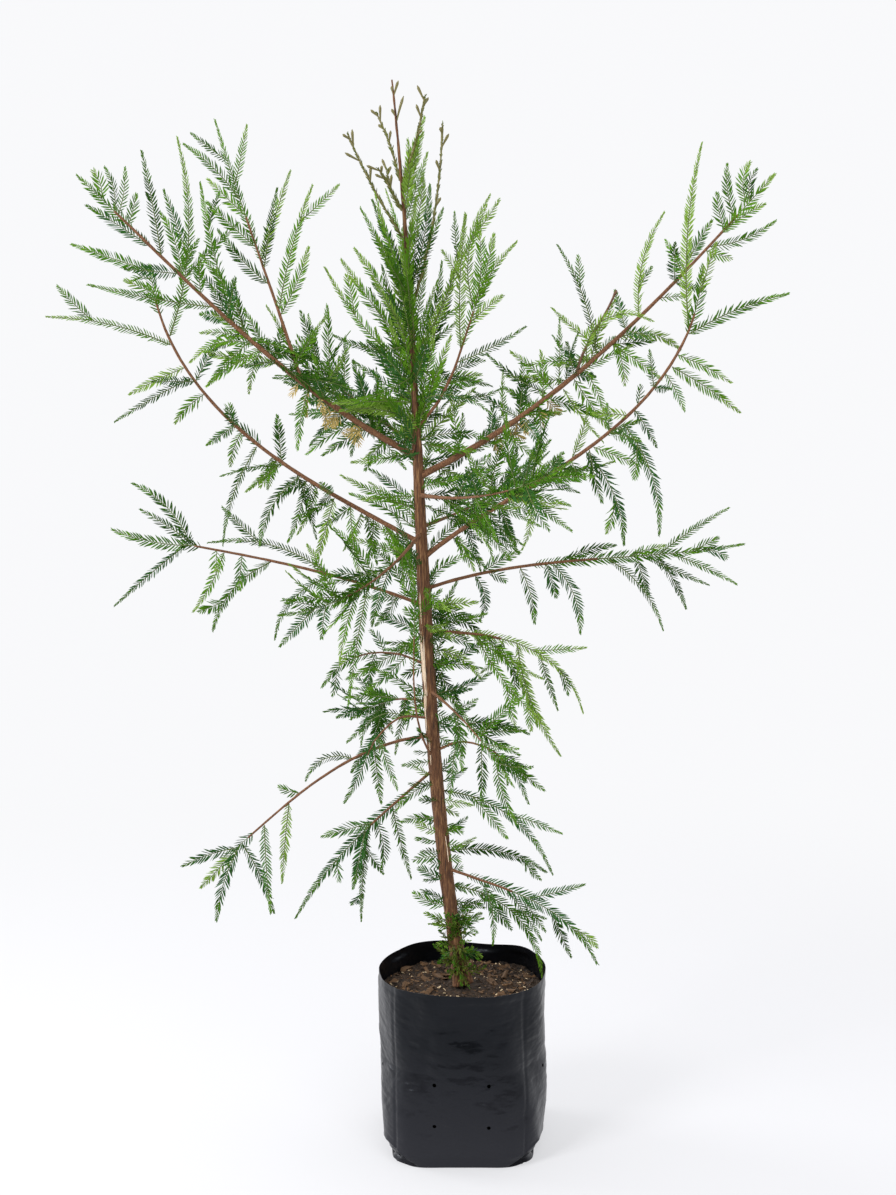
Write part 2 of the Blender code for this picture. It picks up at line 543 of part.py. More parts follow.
def build():
    clear_scene()
    chance = random.Random(SEED)
    taken = Taken()
    bark = material("bark", BARK, 0.9)
    bough_bark = material("bough_bark", BOUGH_BARK, 0.85)
    greens = [material(f"needles_{i}", colour, 0.55) for i, colour in enumerate(GREENS)]

    def solid(name, shape, finish):
        mesh_object(name, *shape, finish)
        taken.add(name, *shape)

    solid("grow_bag", bag(), material("polyethylene_film", FILM_BLACK, 0.4))
    solid("potting_mix", soil(), material("potting_mix", SOIL_BROWN, 0.95))

    foot = Vector((0, 0, SOIL_HEIGHT + GAP))
    trunk = Line(foot, TRUNK_AIMS, (0, 0), TRUNK_LENGTH, TRUNK_GIRTH, TRUNK_STEPS)
    rings = limb_rings(trunk, 0, 1, TRUNK_SIDES)
    rings[0] = [Vector((corner.x, corner.y, foot.z)) for corner in rings[0]]
    rings.insert(1, ring(trunk.point(FLARE_TOP), trunk.tangent(FLARE_TOP), FLARE_TOP_RADIUS, TRUNK_SIDES))
    solid("trunk", loft(rings), bark)

    lines = {"trunk": trunk}
    masses = []
    for bough in BOUGHS:
        parent = lines[bough.parent]
        root, tip = bough.girth
        girth = ((0, root), (max(bough.bare, THIN_BY), tip), (1, TIP_RADIUS))
        line = Line(parent.point(bough.foot), bough.aims, bough.leans, bough.length * MM, girth)
        lines[bough.name] = line
        sides = THICK_LIMB_SIDES if root > THICK_LIMB else THIN_LIMB_SIDES
        if bough.split:
            shape = loft(rooted_rings(line, bough.split, sides, parent, bough.foot))
            solid(f"{bough.name}_bough_inner", shape, bough_bark)
            shape = loft(limb_rings(line, bough.split + GAP / line.length, bough.bare, sides))
            solid(f"{bough.name}_bough_outer", shape, bough_bark)
        elif bough.bare:
            shape = loft(rooted_rings(line, bough.bare, sides, parent, bough.foot))
            solid(f"{bough.name}_bough", shape, bough_bark)
        depth = sum(bough.leans) / 2
        sprays = with_leans(bough.sprays, SPRAY_SHARE_OF_LEAN * depth if abs(depth) > DEEP_LEAN else 0)
        tip_sprays = [spray for spray in sprays if spray.along >= bough.bare]
        side_sprays = [spray for spray in sprays if spray.along < bough.bare]
        masses.append(tip_mass(f"{bough.name}_foliage", line, bough.bare, tip_sprays, parent, bough.foot))
        if side_sprays:
            side_sprays += fill_sprays(bough, -1, chance)
            masses.append(side_mass(f"{bough.name}_side_foliage", line, BACK, side_sprays))
        if bough.fill:
            front_sprays = fill_sprays(bough, 1, chance)
            masses.append(side_mass(f"{bough.name}_front_foliage", line, -BACK, front_sprays))
    for cluster in CLUSTERS:
        around = math.radians(cluster.around)
        side = Vector((math.cos(around), math.sin(around), 0))
        masses.append(side_mass(cluster.name, trunk, side, with_leans(cluster.sprays, cluster.lean)))

    snag = Line(lines["upper_right"].point(SNAG_FOOT), SNAG_AIMS, (SNAG_LEAN, SNAG_LEAN), SNAG_LENGTH,
                ((0, SNAG_RADII[0]), (1, SNAG_RADII[1])))
    snag_rings = rooted_rings(snag, KNOB_FROM, THIN_LIMB_SIDES, lines["upper_right"], SNAG_FOOT)
    for s, radius in KNOB:
        snag_rings.append(ring(snag.point(s), snag.tangent(s), radius * MM, THIN_LIMB_SIDES))
    solid("dead_snag", loft(snag_rings), bough_bark)

    for mass in masses:
        taken.add(mass.name, *loft(mass.rings))
    for number, mass in enumerate(masses):
        blades = []
        if mass.leading_from:
            roll = chance.uniform(-ROLL_RANGE, ROLL_RANGE)
            if taken.clear_of(mass.name, *blade(mass.stem, mass.leading_from, 1, 1, roll, GAP)):
                blades.append(blade(mass.stem, mass.leading_from, 1, 1, roll))
        for spray in mass.sprays:
            shape = fitted_spray(mass, spray, taken, chance)
            if shape:
                blades.append(shape)
        for shape in blades:
            taken.add(mass.name, *shape)
        join_mass(mass.name, mass.rings, blades, greens[number % len(greens)])


build()
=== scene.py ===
"""The looks of a potted montezuma cypress: a young tree in a black nursery grow bag."""
import json
import math
import random
from collections import namedtuple

import bpy
import numpy as np
from mathutils import Matrix, Vector, noise

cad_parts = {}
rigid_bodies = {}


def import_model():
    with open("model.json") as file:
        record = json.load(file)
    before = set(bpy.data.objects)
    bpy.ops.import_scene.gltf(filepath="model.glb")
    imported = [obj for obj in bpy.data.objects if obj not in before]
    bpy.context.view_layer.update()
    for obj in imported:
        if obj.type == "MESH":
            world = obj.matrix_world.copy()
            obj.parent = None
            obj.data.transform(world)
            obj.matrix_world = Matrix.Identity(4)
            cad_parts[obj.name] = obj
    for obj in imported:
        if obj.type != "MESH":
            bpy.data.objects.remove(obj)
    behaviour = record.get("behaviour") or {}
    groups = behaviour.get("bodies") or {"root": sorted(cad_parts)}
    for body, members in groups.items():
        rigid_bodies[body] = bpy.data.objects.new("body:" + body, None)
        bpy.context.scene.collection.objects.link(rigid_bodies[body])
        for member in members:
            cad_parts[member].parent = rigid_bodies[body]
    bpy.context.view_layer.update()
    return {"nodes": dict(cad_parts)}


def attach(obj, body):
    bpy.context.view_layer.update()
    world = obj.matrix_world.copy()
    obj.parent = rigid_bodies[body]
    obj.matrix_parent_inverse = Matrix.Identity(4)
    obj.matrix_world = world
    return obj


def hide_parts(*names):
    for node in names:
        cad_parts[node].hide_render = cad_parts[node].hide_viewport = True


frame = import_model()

MM = 0.001

# The grow bag is a sleeve of black polyethylene film with a gusset down each side, welded at the foot,
# folded in at its four corners and punched with drain holes. It is rolled here from a flat sheet,
# creased and crumpled, then given the film's thickness and its holes.
BAG_HEIGHT, BAG_RIM_WIDTH, BAG_FOOT_WIDTH = 0.215, 0.200, 0.192
BAG_UNDERSIDE = (0.174, 0.186)
FOLD_HEIGHT = 0.014
RIM_SQUARENESS, FOOT_SQUARENESS = 2.0, 4.2
FULL_WIDTH_BY, ROUND_BY = 0.25, 0.5
RIM_WAVE, RIM_WAVES, RIM_WAVE_START, RIM_BAND = 0.0025, 3, 0.6, 0.1
RIM_BENDS_TO = 0.13
RIM_CALM, RIM_CALM_REACH = 0.6, 0.012
FILM_COLUMNS, FILM_ROWS, ROWS_CLOSER_BELOW = 264, 150, 1.15
FILM_THICKNESS, WELD_REACH, FOOT_INSET = 0.35 * MM, 0.05 * MM, 0.02
FILM_SMOOTH_ANGLE = 50
HOLE_RADIUS, HOLE_SIDES = 2.3 * MM, 14
HOLE_ROWS, HOLE_OFFSETS = (0.054, 0.105), (-0.034, 0.030)
PUNCH_LENGTH, PUNCH_INSIDE = 0.03, 0.004
# From here on sizes are in mm, and places round the bag in degrees from its right-hand side. The film
# bulges, ripples, has a ridge and a groove at each gusset, and is stepped in under each corner's tuck.
FRONT = 270
BULGE, BULGES, BULGE_RISE = 1.5, 5, 46
RIPPLES, RIPPLE_RISE = 9, 30
GUSSETS = (-78, 71)
GUSSET_WANDER, GUSSET_WANDER_RISE = 0.8, 40
RIDGE_HEIGHT, RIDGE_WIDTH = 0.2, 0.8
GROOVE_DEPTH, GROOVE_WIDTH, GROOVE_ASIDE = 0.8, 1.6, 2.4
CORNER_TURNS = (24, 156, 204, 336)
TUCK_HEIGHT, TUCK_REACH, TUCK_STEP, TUCK_DEPTH = 24, 80, 4, 4.5
TUCK_EDGE, TUCK_FOOT = 0.8, 3
LIP_HEIGHT, LIP_ABOVE, LIP_WIDTH, LIP_LEAST = 1.1, 1.3, 1.5, 2
# A rim bend is its place, how far it stands out, and its width.
RIM_BENDS = ((48, 6, 22.75), (77, -7, 35), (106, 3, 15.75), (138, -3, 28), (176, 2, 15.75),
             (221, 5, 15.75), (318, -3, 24.5))
# A crease is its place from the front's middle, level, length, width, tilt in degrees and depth.
FRONT_CREASES = (
    (2, 176, 40, 38, 0, 5.5), (8, 160, 20, 8.5, -20, 1.7), (-9, 138, 24, 9.0, -22, 2.2),
    (27, 171, 16, 7.5, 28, 2.1), (-3, 116, 18, 7.0, 4, 1.9), (-60, 72, 17, 7.0, -6, 1.8),
    (58, 60, 26, 9.0, 14, 2.4), (-10, 101, 20, 4.0, 0, 1.0), (41, 150, 20, 7.0, 72, 1.6),
    (-44, 150, 26, 8.0, 80, 1.6), (20, 136, 14, 7.0, 30, 2.0), (-50, 118, 22, 9.0, 50, 1.0),
    (30, 92, 24, 8.0, 12, 1.6), (-25, 48, 26, 9.0, -10, 1.6))
WRINKLES, CRUMPLES, WRINKLE_SEED = 190, 230, 4
WRINKLE_LEVELS = (12, 205, 135)
WRINKLE_LENGTH, WRINKLE_WIDTH, WRINKLE_TILT, WRINKLE_SLOPE = (8, 26), (1.6, 4.6), 18, (0.09, 0.22)
CRUMPLE_LENGTH, CRUMPLE_WIDTH = 0.45, 0.6
CALM, CALM_REACH = 0.85, 7


def bag_outline(turn, height):
    """The film's place at a turn round the bag and a height, as arrays, before it is creased."""
    up = np.maximum(0, height - FOLD_HEIGHT) / (BAG_HEIGHT - FOLD_HEIGHT)
    width = BAG_FOOT_WIDTH + (BAG_RIM_WIDTH - BAG_FOOT_WIDTH) * np.minimum(1, up / FULL_WIDTH_BY)
    squareness = FOOT_SQUARENESS + (RIM_SQUARENESS - FOOT_SQUARENESS) * np.minimum(1, up / ROUND_BY)
    fold = np.minimum(1, height / FOLD_HEIGHT)
    place = []
    for under, part in zip(BAG_UNDERSIDE, (np.cos(turn), np.sin(turn))):
        half = (under + (width - under) * fold) / 2
        place.append(half * np.sign(part) * np.abs(part) ** (2 / squareness))
    return np.stack([*place, height], axis=1)


def arc_from(turn, degrees):
    """How far round the bag each turn is from an angle, in mm, positive anticlockwise from above."""
    gap = (turn - math.radians(degrees) + math.pi) % (2 * math.pi) - math.pi
    return gap * BAG_RIM_WIDTH / 2 / MM


def bell(distance, width):
    """1 at a distance of 0, falling away smoothly over a width."""
    return np.exp(-((distance / width) ** 2))


def crease(arc, climb, long, thin, tilt):
    """A crease of depth 1, at distances round and up from its middle. It runs at a tilt in degrees."""
    tilt = math.radians(tilt)
    along = arc * math.cos(tilt) + climb * math.sin(tilt)
    upright = climb * math.cos(tilt) - arc * math.sin(tilt)
    return np.exp(-((along / long) ** 2) - ((upright / thin) ** 2))


def film_relief(turn, height, across):
    """How far the film stands out from its outline, in mm: gusset creases, corner tucks and crumples."""
    rise = height / MM
    relief = BULGE * np.sin(BULGES * turn + 1) * np.sin(rise / BULGE_RISE)
    relief = relief + np.sin(RIPPLES * turn + rise / RIPPLE_RISE)
    near_rim = np.clip((height - RIM_BENDS_TO) / (BAG_HEIGHT - RIM_BENDS_TO), 0, 1)
    for degrees, depth, width in RIM_BENDS:
        relief += depth * near_rim * bell(arc_from(turn, degrees), width)
    calm = 1.0
    for gusset in GUSSETS:
        aside = across / MM - gusset - GUSSET_WANDER * np.sin(rise / GUSSET_WANDER_RISE)
        outer = aside * math.copysign(1, gusset)
        groove = GROOVE_DEPTH * bell(outer - GROOVE_ASIDE, GROOVE_WIDTH)
        relief += RIDGE_HEIGHT * bell(aside, RIDGE_WIDTH) - groove
        calm = calm * (1 - CALM * bell(across / MM - gusset, CALM_REACH))
    for degrees in CORNER_TURNS:
        lip = TUCK_HEIGHT * (1 - (arc_from(turn, degrees) / TUCK_REACH) ** 2)
        under = 1 / (1 + np.exp((rise - lip) / TUCK_EDGE))
        reach = np.clip(rise / TUCK_FOOT, 0, 1)
        relief -= (TUCK_STEP + TUCK_DEPTH * np.clip(1 - rise / np.maximum(lip, 1), 0, 1)) * under * reach
        relief += LIP_HEIGHT * bell(rise - lip - LIP_ABOVE, LIP_WIDTH) * (lip > LIP_LEAST)
    for arc, level, long, thin, tilt, depth in FRONT_CREASES:
        relief -= depth * crease(arc_from(turn, FRONT) - arc, rise - level, long, thin, tilt)
    chance = random.Random(WRINKLE_SEED)
    for i in range(WRINKLES + CRUMPLES):
        centre = chance.uniform(0, 360)
        level = chance.triangular(*WRINKLE_LEVELS)
        long, thin = chance.uniform(*WRINKLE_LENGTH), chance.uniform(*WRINKLE_WIDTH)
        if i >= WRINKLES:
            long, thin = long * CRUMPLE_LENGTH, thin * CRUMPLE_WIDTH
        tilt = chance.gauss(0, WRINKLE_TILT)
        depth = chance.choice((-1, 1)) * chance.uniform(*WRINKLE_SLOPE) * thin
        relief += calm * depth * crease(arc_from(turn, centre), rise - level, long, thin, tilt)
    return relief * np.clip((BAG_HEIGHT - height) / RIM_CALM_REACH, RIM_CALM, 1)


def film_place(turn, height):
    """The film's place with its creases, at turns and heights given as arrays."""
    place = bag_outline(turn, height)
    outwards = place * (1, 1, 0)
    outwards /= np.linalg.norm(outwards, axis=1, keepdims=True)
    return place + outwards * film_relief(turn, height, place[:, 0])[:, None] * MM


bpy.ops.object.select_all(action="DESELECT")
bpy.ops.mesh.primitive_grid_add(x_subdivisions=FILM_COLUMNS, y_subdivisions=FILM_ROWS, size=1)
film = bpy.context.object
film.name = "grow_bag_film"
sheet = np.empty(len(film.data.vertices) * 3)
film.data.vertices.foreach_get("co", sheet)
sheet = sheet.reshape(-1, 3)
turn = (sheet[:, 0] + 0.5) * 2 * math.pi
height = (sheet[:, 1] + 0.5) ** ROWS_CLOSER_BELOW * BAG_HEIGHT
rolled = film_place(turn, height)
at_rim = np.clip((height - (1 - RIM_BAND) * BAG_HEIGHT) / (RIM_BAND * BAG_HEIGHT), 0, 1)
rolled[:, 2] = FILM_THICKNESS + rolled[:, 2] * (1 - FILM_THICKNESS / BAG_HEIGHT)
rolled[:, 2] += at_rim * RIM_WAVE * np.sin(RIM_WAVES * turn + RIM_WAVE_START)
film.data.vertices.foreach_set("co", rolled.ravel())

bpy.ops.object.mode_set(mode="EDIT")
bpy.ops.mesh.select_all(action="SELECT")
bpy.ops.mesh.remove_doubles(threshold=WELD_REACH)
bpy.ops.mesh.select_all(action="DESELECT")
bpy.ops.mesh.select_mode(type="EDGE")
bpy.ops.object.mode_set(mode="OBJECT")
for edge in film.data.edges:
    edge.select = all(film.data.vertices[end].co.z < FILM_THICKNESS + 0.01 * MM for end in edge.vertices)
bpy.ops.object.mode_set(mode="EDIT")
bpy.ops.mesh.edge_face_add()
bpy.ops.mesh.inset(thickness=FOOT_INSET)
bpy.ops.mesh.select_all(action="SELECT")
bpy.ops.mesh.normals_make_consistent(inside=False)
bpy.ops.object.mode_set(mode="OBJECT")
wall = film.modifiers.new("film thickness", "SOLIDIFY")
wall.thickness = FILM_THICKNESS
wall.offset = -1
bpy.ops.object.modifier_apply(modifier=wall.name)

punches = []
for quarter in range(4):
    for offset in HOLE_OFFSETS:
        for row in HOLE_ROWS:
            bpy.ops.mesh.primitive_cylinder_add(vertices=HOLE_SIDES, radius=HOLE_RADIUS,
                                                depth=PUNCH_LENGTH)
            punch = bpy.context.object
            facing = Matrix.Rotation(quarter * math.pi / 2, 4, "Z")
            stand = Matrix.Translation((offset, -BAG_RIM_WIDTH / 2 + PUNCH_INSIDE, row))
            punch.data.transform(facing @ stand @ Matrix.Rotation(math.pi / 2, 4, "X"))
            punches.append(punch)
bpy.ops.object.select_all(action="DESELECT")
for punch in punches:
    punch.select_set(True)
bpy.context.view_layer.objects.active = punches[0]
bpy.ops.object.join()
bpy.ops.object.select_all(action="DESELECT")
film.select_set(True)
bpy.context.view_layer.objects.active = film
holes = film.modifiers.new("drain holes", "BOOLEAN")
holes.operation = "DIFFERENCE"
holes.object = punches[0]
bpy.ops.object.modifier_apply(modifier=holes.name)
bpy.data.objects.remove(punches[0])
bpy.ops.object.shade_smooth_by_angle(angle=math.radians(FILM_SMOOTH_ANGLE))


def linear(hex_colour):
    """An sRGB hex colour as the linear colour that shaders take."""
    channels = [int(hex_colour[i:i + 2], 16) / 255 for i in (1, 3, 5)]
    return tuple(c / 12.92 if c <= 0.04045 else ((c + 0.055) / 1.055) ** 2.4 for c in channels) + (1.0,)


def add_node(tree, kind, settings=None, values=None, links=None, stops=()):
    """Adds a node, sets its properties, sockets and colour stops, and links sockets from outputs."""
    made = tree.nodes.new("ShaderNode" + kind)
    for name, value in (settings or {}).items():
        setattr(made, name, value)
    for socket, value in (values or {}).items():
        made.inputs[socket].default_value = value
    for socket, output in (links or {}).items():
        tree.links.new(output, made.inputs[socket])
    for i, (position, colour) in enumerate(stops):
        stop = made.color_ramp.elements[i] if i < 2 else made.color_ramp.elements.new(position)
        stop.position, stop.color = position, colour
    return made


def new_finish(name, **values):
    """A material with its shader's own values set, and the object's coordinates to build patterns on."""
    finish = bpy.data.materials.new(name)
    finish.use_nodes = True
    shader = finish.node_tree.nodes["Principled BSDF"]
    for socket, value in values.items():
        shader.inputs[socket.replace("_", " ")].default_value = value
    place = add_node(finish.node_tree, "TexCoord").outputs["Object"]
    return finish, finish.node_tree, shader, place


# Blown low-density polyethylene film, carbon black all through: a soft grey sheen, and painted reflection of
# the pale floor, lighter towards the foot.
def black_film():
    finish, tree, shader, place = new_finish("black_polyethylene_film", IOR=1.51, Specular_IOR_Level=0.2,
                                             Specular_Tint=(0.82, 0.88, 1, 1))
    dust = add_node(tree, "TexNoise", None, {"Scale": 1 / 0.060, "Detail": 4}, {"Vector": place})
    colours = add_node(tree, "ValToRGB", None, None, {"Fac": dust.outputs["Fac"]},
                       ((0.3, linear("#050608")), (0.75, linear("#121317"))))
    level = add_node(tree, "SeparateXYZ", None, None, {"Vector": place}).outputs["Z"]
    # Painted reflection of the pale floor: the film's colour is painted lighter from 15 cm down to the foot.
    low = add_node(tree, "MapRange", None, {"From Min": 0.15, "From Max": 0.02}, {"Value": level})
    painted_floor_reflection = add_node(tree, "Mix", {"data_type": "RGBA"}, {"B": linear("#26262a")},
                     {"Factor": low.outputs["Result"], "A": colours.outputs["Color"]})
    tree.links.new(painted_floor_reflection.outputs["Result"], shader.inputs["Base Color"])
    dull = add_node(tree, "MapRange", None, {"To Min": 0.25, "To Max": 0.36},
                    {"Value": dust.outputs["Fac"]})
    tree.links.new(dull.outputs["Result"], shader.inputs["Roughness"])
    wide = add_node(tree, "Mapping", None, {"Scale": (1, 1, 1.9)}, {"Vector": place})
    crinkle = add_node(tree, "TexNoise", None, {"Scale": 1 / 0.024, "Detail": 2},
                       {"Vector": wide.outputs["Vector"]})
    bump = add_node(tree, "Bump", None, {"Strength": 0.8, "Distance": 0.0026},
                    {"Height": crinkle.outputs["Fac"]})
    tree.links.new(bump.outputs["Normal"], shader.inputs["Normal"])
    return finish


def dress(piece, finish, slot, *solids):
    """Gives a piece its material and sets it in the place of solids, riding on the root; its slot is not
    used.
    """
    piece.data.materials.clear()
    piece.data.materials.append(finish)
    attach(piece, "root")
    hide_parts(*solids)


dress(film, black_film(), "polyethylene_film", "grow_bag")

# The potting mix is composted bark and peat, filled loose to a little under the rim and settled. Its top
# is a lumpy bed of crumbs, with chips of bark lying on it, a few of them pale wood.
SOIL_HEIGHT, SOIL_FOOT, SOIL_SHOULDER = 0.190, 0.010, 0.008
SHOULDER_SHARE, FOOT_SHARE = 0.92, 0.93
SOIL_CELLS, SOIL_INSET, SOIL_SMOOTH_ANGLE = 150, 1.4 * MM, 40
LUMP_WIDTH, LUMP_HEIGHT = 9 * MM, 3.2 * MM
HEAP_WIDTH, HEAP_HEIGHT = 0.022, 1.5 * MM
HOLLOW_X, HOLLOW_Y, HOLLOW_WIDTH, HOLLOW_DEPTH = -0.020, -0.018, 0.012, 5 * MM

bpy.ops.object.select_all(action="DESELECT")
bpy.ops.mesh.primitive_grid_add(x_subdivisions=SOIL_CELLS, y_subdivisions=SOIL_CELLS, size=2)
mix = bpy.context.object
mix.name = "potting_mix_bed"


def soil_level(x, y):
    """The height of the settled mix at a place, a little heaped at the trunk, with a hollow beside it."""
    lumps = noise.fractal(Vector((x, y, 0)) / LUMP_WIDTH, 1.0, 2.0, 4) * LUMP_HEIGHT
    heap = HEAP_HEIGHT * math.exp(-(math.hypot(x, y) / HEAP_WIDTH) ** 2)
    hollow = HOLLOW_DEPTH * math.exp(-(math.hypot(x - HOLLOW_X, y - HOLLOW_Y) / HOLLOW_WIDTH) ** 2)
    return SOIL_HEIGHT + lumps + heap - hollow


turns = np.array([math.atan2(vertex.co.y, vertex.co.x) for vertex in mix.data.vertices])
edges = film_place(turns % (2 * math.pi), np.full(len(turns), SOIL_HEIGHT))
for vertex, turn, edge in zip(mix.data.vertices, turns, edges):
    spread = max(abs(vertex.co.x), abs(vertex.co.y))
    reach = spread * (math.hypot(edge[0], edge[1]) - SOIL_INSET)
    vertex.co.x, vertex.co.y = reach * math.cos(turn), reach * math.sin(turn)
    vertex.co.z = soil_level(vertex.co.x, vertex.co.y)
bpy.ops.object.mode_set(mode="EDIT")
bpy.ops.mesh.select_mode(type="EDGE")
bpy.ops.mesh.select_all(action="SELECT")
bpy.ops.mesh.region_to_loop()
for drop, share in ((-SOIL_SHOULDER, SHOULDER_SHARE), (SOIL_FOOT + SOIL_SHOULDER - SOIL_HEIGHT, FOOT_SHARE)):
    bpy.ops.mesh.extrude_edges_move(TRANSFORM_OT_translate={"value": (0, 0, drop)})
    bpy.ops.transform.resize(value=(share, share, 1))
bpy.ops.mesh.edge_face_add()
bpy.ops.mesh.select_all(action="SELECT")
bpy.ops.mesh.normals_make_consistent(inside=False)
bpy.ops.object.mode_set(mode="OBJECT")
bpy.ops.object.shade_smooth_by_angle(angle=math.radians(SOIL_SMOOTH_ANGLE))


def grained(name, roughness, width, detail, stops, relief=None, stretch=None, harshness=0.5):
    """A material coloured by a grain of a width in metres, which may be stretched along the piece and
    stand in relief, given as a strength and a height."""
    finish, tree, shader, place = new_finish(name, Roughness=roughness)
    if stretch:
        mapping = add_node(tree, "Mapping", None, {"Scale": (1, 1, stretch)}, {"Vector": place})
        place = mapping.outputs["Vector"]
    grain = add_node(tree, "TexNoise", None, {"Scale": 1 / width, "Detail": detail, "Roughness": harshness},
                     {"Vector": place}).outputs["Fac"]
    colours = add_node(tree, "ValToRGB", None, None, {"Fac": grain}, stops)
    tree.links.new(colours.outputs["Color"], shader.inputs["Base Color"])
    if relief:
        bump = add_node(tree, "Bump", None, dict(zip(("Strength", "Distance"), relief)), {"Height": grain})
        tree.links.new(bump.outputs["Normal"], shader.inputs["Normal"])
    return finish


# Composted bark and peat, damp: nearly black in the gaps, brown on the lumps, with no shine.
damp_shades = ((0.35, linear("#0e0905")), (0.7, linear("#3f2d1d")))
damp_mix = grained("composted_bark_mix", 0.95, 3.5 * MM, 6, damp_shades, (0.9, 1.0 * MM))
dress(mix, damp_mix, "potting_mix", "potting_mix")

# Split chips, slabs and crumbs of bark lie on the mix at all angles, those of one shade joined. Each kind
# is its count, its lengths in mm and its colour.
CHIPS = {
    "bark_chips_dark": (900, (2.5, 8), "#35261a"), "bark_chips_brown": (450, (2.5, 8), "#6b4e31"),
    "wood_chips_pale": (166, (2, 6.5), "#d2ba96"), "bark_crumbs": (3400, (1, 2.6), "#4a3624"),
    "bark_slabs": (84, (7, 21), "#5e442b")}
CHIP_FACES = ((0, 3, 2, 1), (4, 5, 6, 7), (0, 1, 5, 4), (1, 2, 6, 5), (2, 3, 7, 6), (3, 0, 4, 7))
CHIP_SEED = 21
CHIPS_FROM_TRUNK, CHIPS_FROM_WALL = 0.016, 0.006
CHIP_LIFT = 0.8 * MM
CHIP_WIDTH, CHIP_THICKNESS, CHIP_RAGGED = (0.2, 0.55), (0.1, 0.25), (0.55, 1.0)
CHIP_TURN, CHIP_PITCH, CHIP_ROLL = 6.28, 0.35, 0.4
FIBRE_SHADE = 0.45


def new_piece(name, points, faces):
    """A piece of the model from its points and faces."""
    piece = bpy.data.objects.new(name, bpy.data.meshes.new(name))
    piece.data.from_pydata(points, [], faces)
    bpy.context.scene.collection.objects.link(piece)
    return piece


# Torn softwood bark: matt, with a fine dark fibre through it.
def torn_wood(name, hex_colour):
    dark = [FIBRE_SHADE * c for c in linear(hex_colour)[:3]] + [1]
    return grained(name + "_wood", 0.85, 1.2 * MM, 3, ((0, dark), (0.6, linear(hex_colour))))


chance = random.Random(CHIP_SEED)
for name, (count, sizes, hex_colour) in CHIPS.items():
    points, faces = [], []
    for _ in range(count):
        span = BAG_RIM_WIDTH / 2 - CHIPS_FROM_TRUNK - CHIPS_FROM_WALL
        away = CHIPS_FROM_TRUNK + span * math.sqrt(chance.random())
        around = chance.uniform(0, 2 * math.pi)
        spot = Vector((away * math.cos(around), away * math.sin(around), 0))
        spot.z = soil_level(spot.x, spot.y) + chance.uniform(0, CHIP_LIFT)
        long = chance.uniform(*sizes) * MM
        wide, thick = long * chance.uniform(*CHIP_WIDTH), long * chance.uniform(*CHIP_THICKNESS)
        lie = Matrix.Rotation(chance.uniform(0, CHIP_TURN), 3, "Z")
        lie = lie @ Matrix.Rotation(chance.gauss(0, CHIP_PITCH), 3, "Y")
        lie = lie @ Matrix.Rotation(chance.gauss(0, CHIP_ROLL), 3, "X")
        base = len(points)
        for level in (-1, 1):
            for sx, sy in ((-1, -1), (1, -1), (1, 1), (-1, 1)):
                ragged = [chance.uniform(*CHIP_RAGGED) for _ in range(3)]
                corner = Vector((sx * long * ragged[0], sy * wide * ragged[1], level * thick * ragged[2])) / 2
                points.append(spot + lie @ corner)
        faces += [tuple(base + corner for corner in face) for face in CHIP_FACES]
    dress(new_piece(name, points, faces), torn_wood(name, hex_colour), "potting_mix", "potting_mix")

# The trunk is one stem, whole from the mix to the leader's tip, drawn with the frame's own angles. Its
# bark is thin, red-brown and fibrous, peeling in narrow strips, and it flares into the first roots.
BACK = Vector((0, 1, 0))
GAP = 0.3 * MM
TRUNK_LENGTH = 1.079
TRUNK_AIMS = (99.6, 92.5, 96.3)
TRUNK_GIRTH = ((0, 12.5), (0.03, 9.6), (0.08, 8.4), (0.45, 7.7), (0.60, 5.8), (0.69, 3.6), (1, 0.9))
TRUNK_STEPS, TRUNK_SIDES = 15, 56
LIMB_STEP = 0.040
CORNER_REACH = 0.35
TIP_RADIUS = 0.9
FLARE_HEIGHT, FLARE_LOBES, FLARE_TURN, FLARE_LOBE, FLARE_FALL = 0.030, 3, 0.6, 0.2, 1.5
TRUNK_SUNK = 6 * MM
BARK_STRIP, BARK_STRETCH = 1.1 * MM, 14
KNOT, KNOT_LENGTH, KNOTS_ROUND = 0.06, 0.02, 1.3
COLLAR_REACH = 0.008
TRUNK_RINGS, TRUNK_RELIEF = 2.6 * MM, 0.45 * MM


def heading(aim, lean):
    """The unit direction of an aim and a lean, as the frame's limbs are given."""
    aim, lean = math.radians(aim), math.radians(lean)
    return Vector((math.cos(aim) * math.cos(lean), -math.sin(lean), math.sin(aim) * math.cos(lean)))


def between(values, s):
    """Two values run straight from root to tip, and three bend through the middle one."""
    if len(values) == 2:
        return values[0] + (values[1] - values[0]) * s
    root, middle, tip = values
    return root + s * (4 * middle - 3 * root - tip) + 2 * s * s * (root - 2 * middle + tip)


def girth_at(stations, s):
    for (low, thick), (high, thin) in zip(stations, stations[1:]):
        if s <= high:
            return (thick + (thin - thick) * (s - low) / (high - low)) * MM
    return stations[-1][1] * MM


def square_to(direction, tangent):
    """The part of a direction that is square to a tangent, as a unit vector."""
    return (direction - tangent * direction.dot(tangent)).normalized()


class Line:
    """A limb or a spray as a chain of straight lengths. Its aim, lean and girth change along it."""

    def __init__(self, start, aims, leans, length, girth=((0, 0), (1, 0)), steps=None):
        self.aims, self.leans, self.length, self.girth = aims, leans, length, girth
        self.steps = steps or max(4, round(length / LIMB_STEP))
        self.points = [Vector(start)]
        for step in range(self.steps):
            middle = (step + 0.5) / self.steps
            self.points.append(self.points[-1] + self.tangent(middle) * (length / self.steps))

    def tangent(self, s):
        return heading(between(self.aims, s), between(self.leans, s))

    def point(self, s):
        step = min(int(s * self.steps), self.steps - 1)
        return self.points[step].lerp(self.points[step + 1], s * self.steps - step)

    def radius(self, s):
        return girth_at(self.girth, s)


